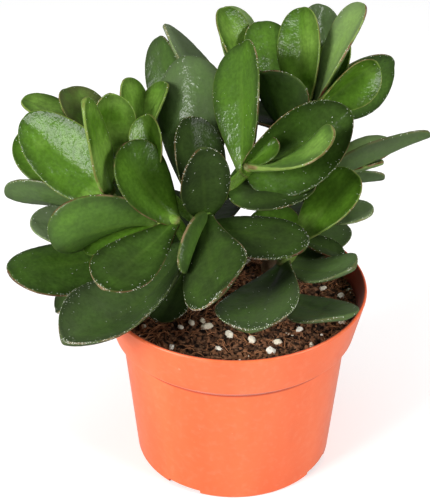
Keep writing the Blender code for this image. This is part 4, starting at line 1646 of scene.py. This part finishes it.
@dataclass(frozen=True)
class Studio:
    """White floor, soft light and the camera at the photograph's viewing angle."""

    eye: tuple = (0.0, -527.1, 433.2)
    pitch_down: float = 31.83
    yaw: float = -0.96
    tilt: float = 0.116
    lens: float = 100.0
    sensor: float = 36.0
    clip: tuple = (0.05, 20.0)
    floor_half: float = 3.0
    floor_greys: tuple = (0.74, 0.77)
    floor_blotch: float = 0.4
    floor_glow: float = 0.53
    world_strength: float = 0.17
    boxes: tuple = (
        SoftBox("left_light", (-0.80, -0.62, 0.54), 0.46, 14.0),
        SoftBox("right_light", (0.90, -0.52, 0.66), 0.45, 9.5),
        SoftBox("top_light", (0.0, 0.20, 1.55), 1.1, 8.0, mirrored=False),
    )

    def camera(self) -> None:
        """Add the camera and make it the scene's."""
        pitch, yaw, tilt = (math.radians(v) for v in (self.pitch_down, self.yaw, self.tilt))
        ahead = Vector((math.sin(yaw) * math.cos(pitch), math.cos(yaw) * math.cos(pitch), -math.sin(pitch)))
        right = Vector((math.cos(yaw), -math.sin(yaw), 0.0))
        up = right.cross(ahead)
        right, up = (math.cos(tilt) * right + math.sin(tilt) * up,
                     math.cos(tilt) * up - math.sin(tilt) * right)
        data = bpy.data.cameras.new("camera")
        data.lens, data.sensor_width = self.lens, self.sensor
        data.clip_start, data.clip_end = self.clip
        item = bpy.data.objects.new("camera", data)
        turn = Matrix((right, up, -ahead)).transposed().to_4x4()
        item.matrix_world = Matrix.Translation(Vector(self.eye) * MM) @ turn
        bpy.context.scene.collection.objects.link(item)
        bpy.context.scene.camera = item

    def floor(self) -> None:
        """Add the plain pale floor."""
        side = self.floor_half
        mesh = bpy.data.meshes.new("floor")
        mesh.from_pydata([(-side, -side, 0), (side, -side, 0), (side, side, 0), (-side, side, 0)],
                         [], [(0, 1, 2, 3)])
        w = Surface("floor_white")
        tint = w.blend(w.noise(w.where, self.floor_blotch, 1.0), *((grey,) * 3 for grey in self.floor_greys))
        w.feed(w.shader.inputs["Emission Color"], tint)
        mesh.materials.append(w.finish(tint, 0.7, Specular_IOR_Level=0.0, Emission_Strength=self.floor_glow))
        sheet = new_object("floor", mesh)
        sheet.visible_glossy = False

    def build(self) -> None:
        """Set up floor, lights, world and camera."""
        self.floor()
        for box in self.boxes:
            box.build()
        world = bpy.data.worlds.new("studio")
        world.use_nodes = True
        back = world.node_tree.nodes["Background"]
        back.inputs["Color"].default_value = (1.0, 1.0, 1.0, 1.0)
        back.inputs["Strength"].default_value = self.world_strength
        bpy.context.scene.world = world
        bpy.context.scene.view_settings.view_transform = "Standard"
        self.camera()


def main() -> None:
    """Build every piece in order and report it."""
    logging.basicConfig(level=logging.INFO)
    Studio().build()
    pot = NurseryPot()
    pot.place(PotFinish().build())
    PottingMix(pot).place(MixFinish().build())
    skins, specks = (LeafFinish().build(), WoodFinish().build()), FrostScatter().tree(FROST.build())
    for seed, stem in enumerate((FRONT, LEFT, BACK, TALL, RIGHT), 1):
        JadeStem(stem, seed, skins, specks).place()


if __name__ == "__main__":
    main()
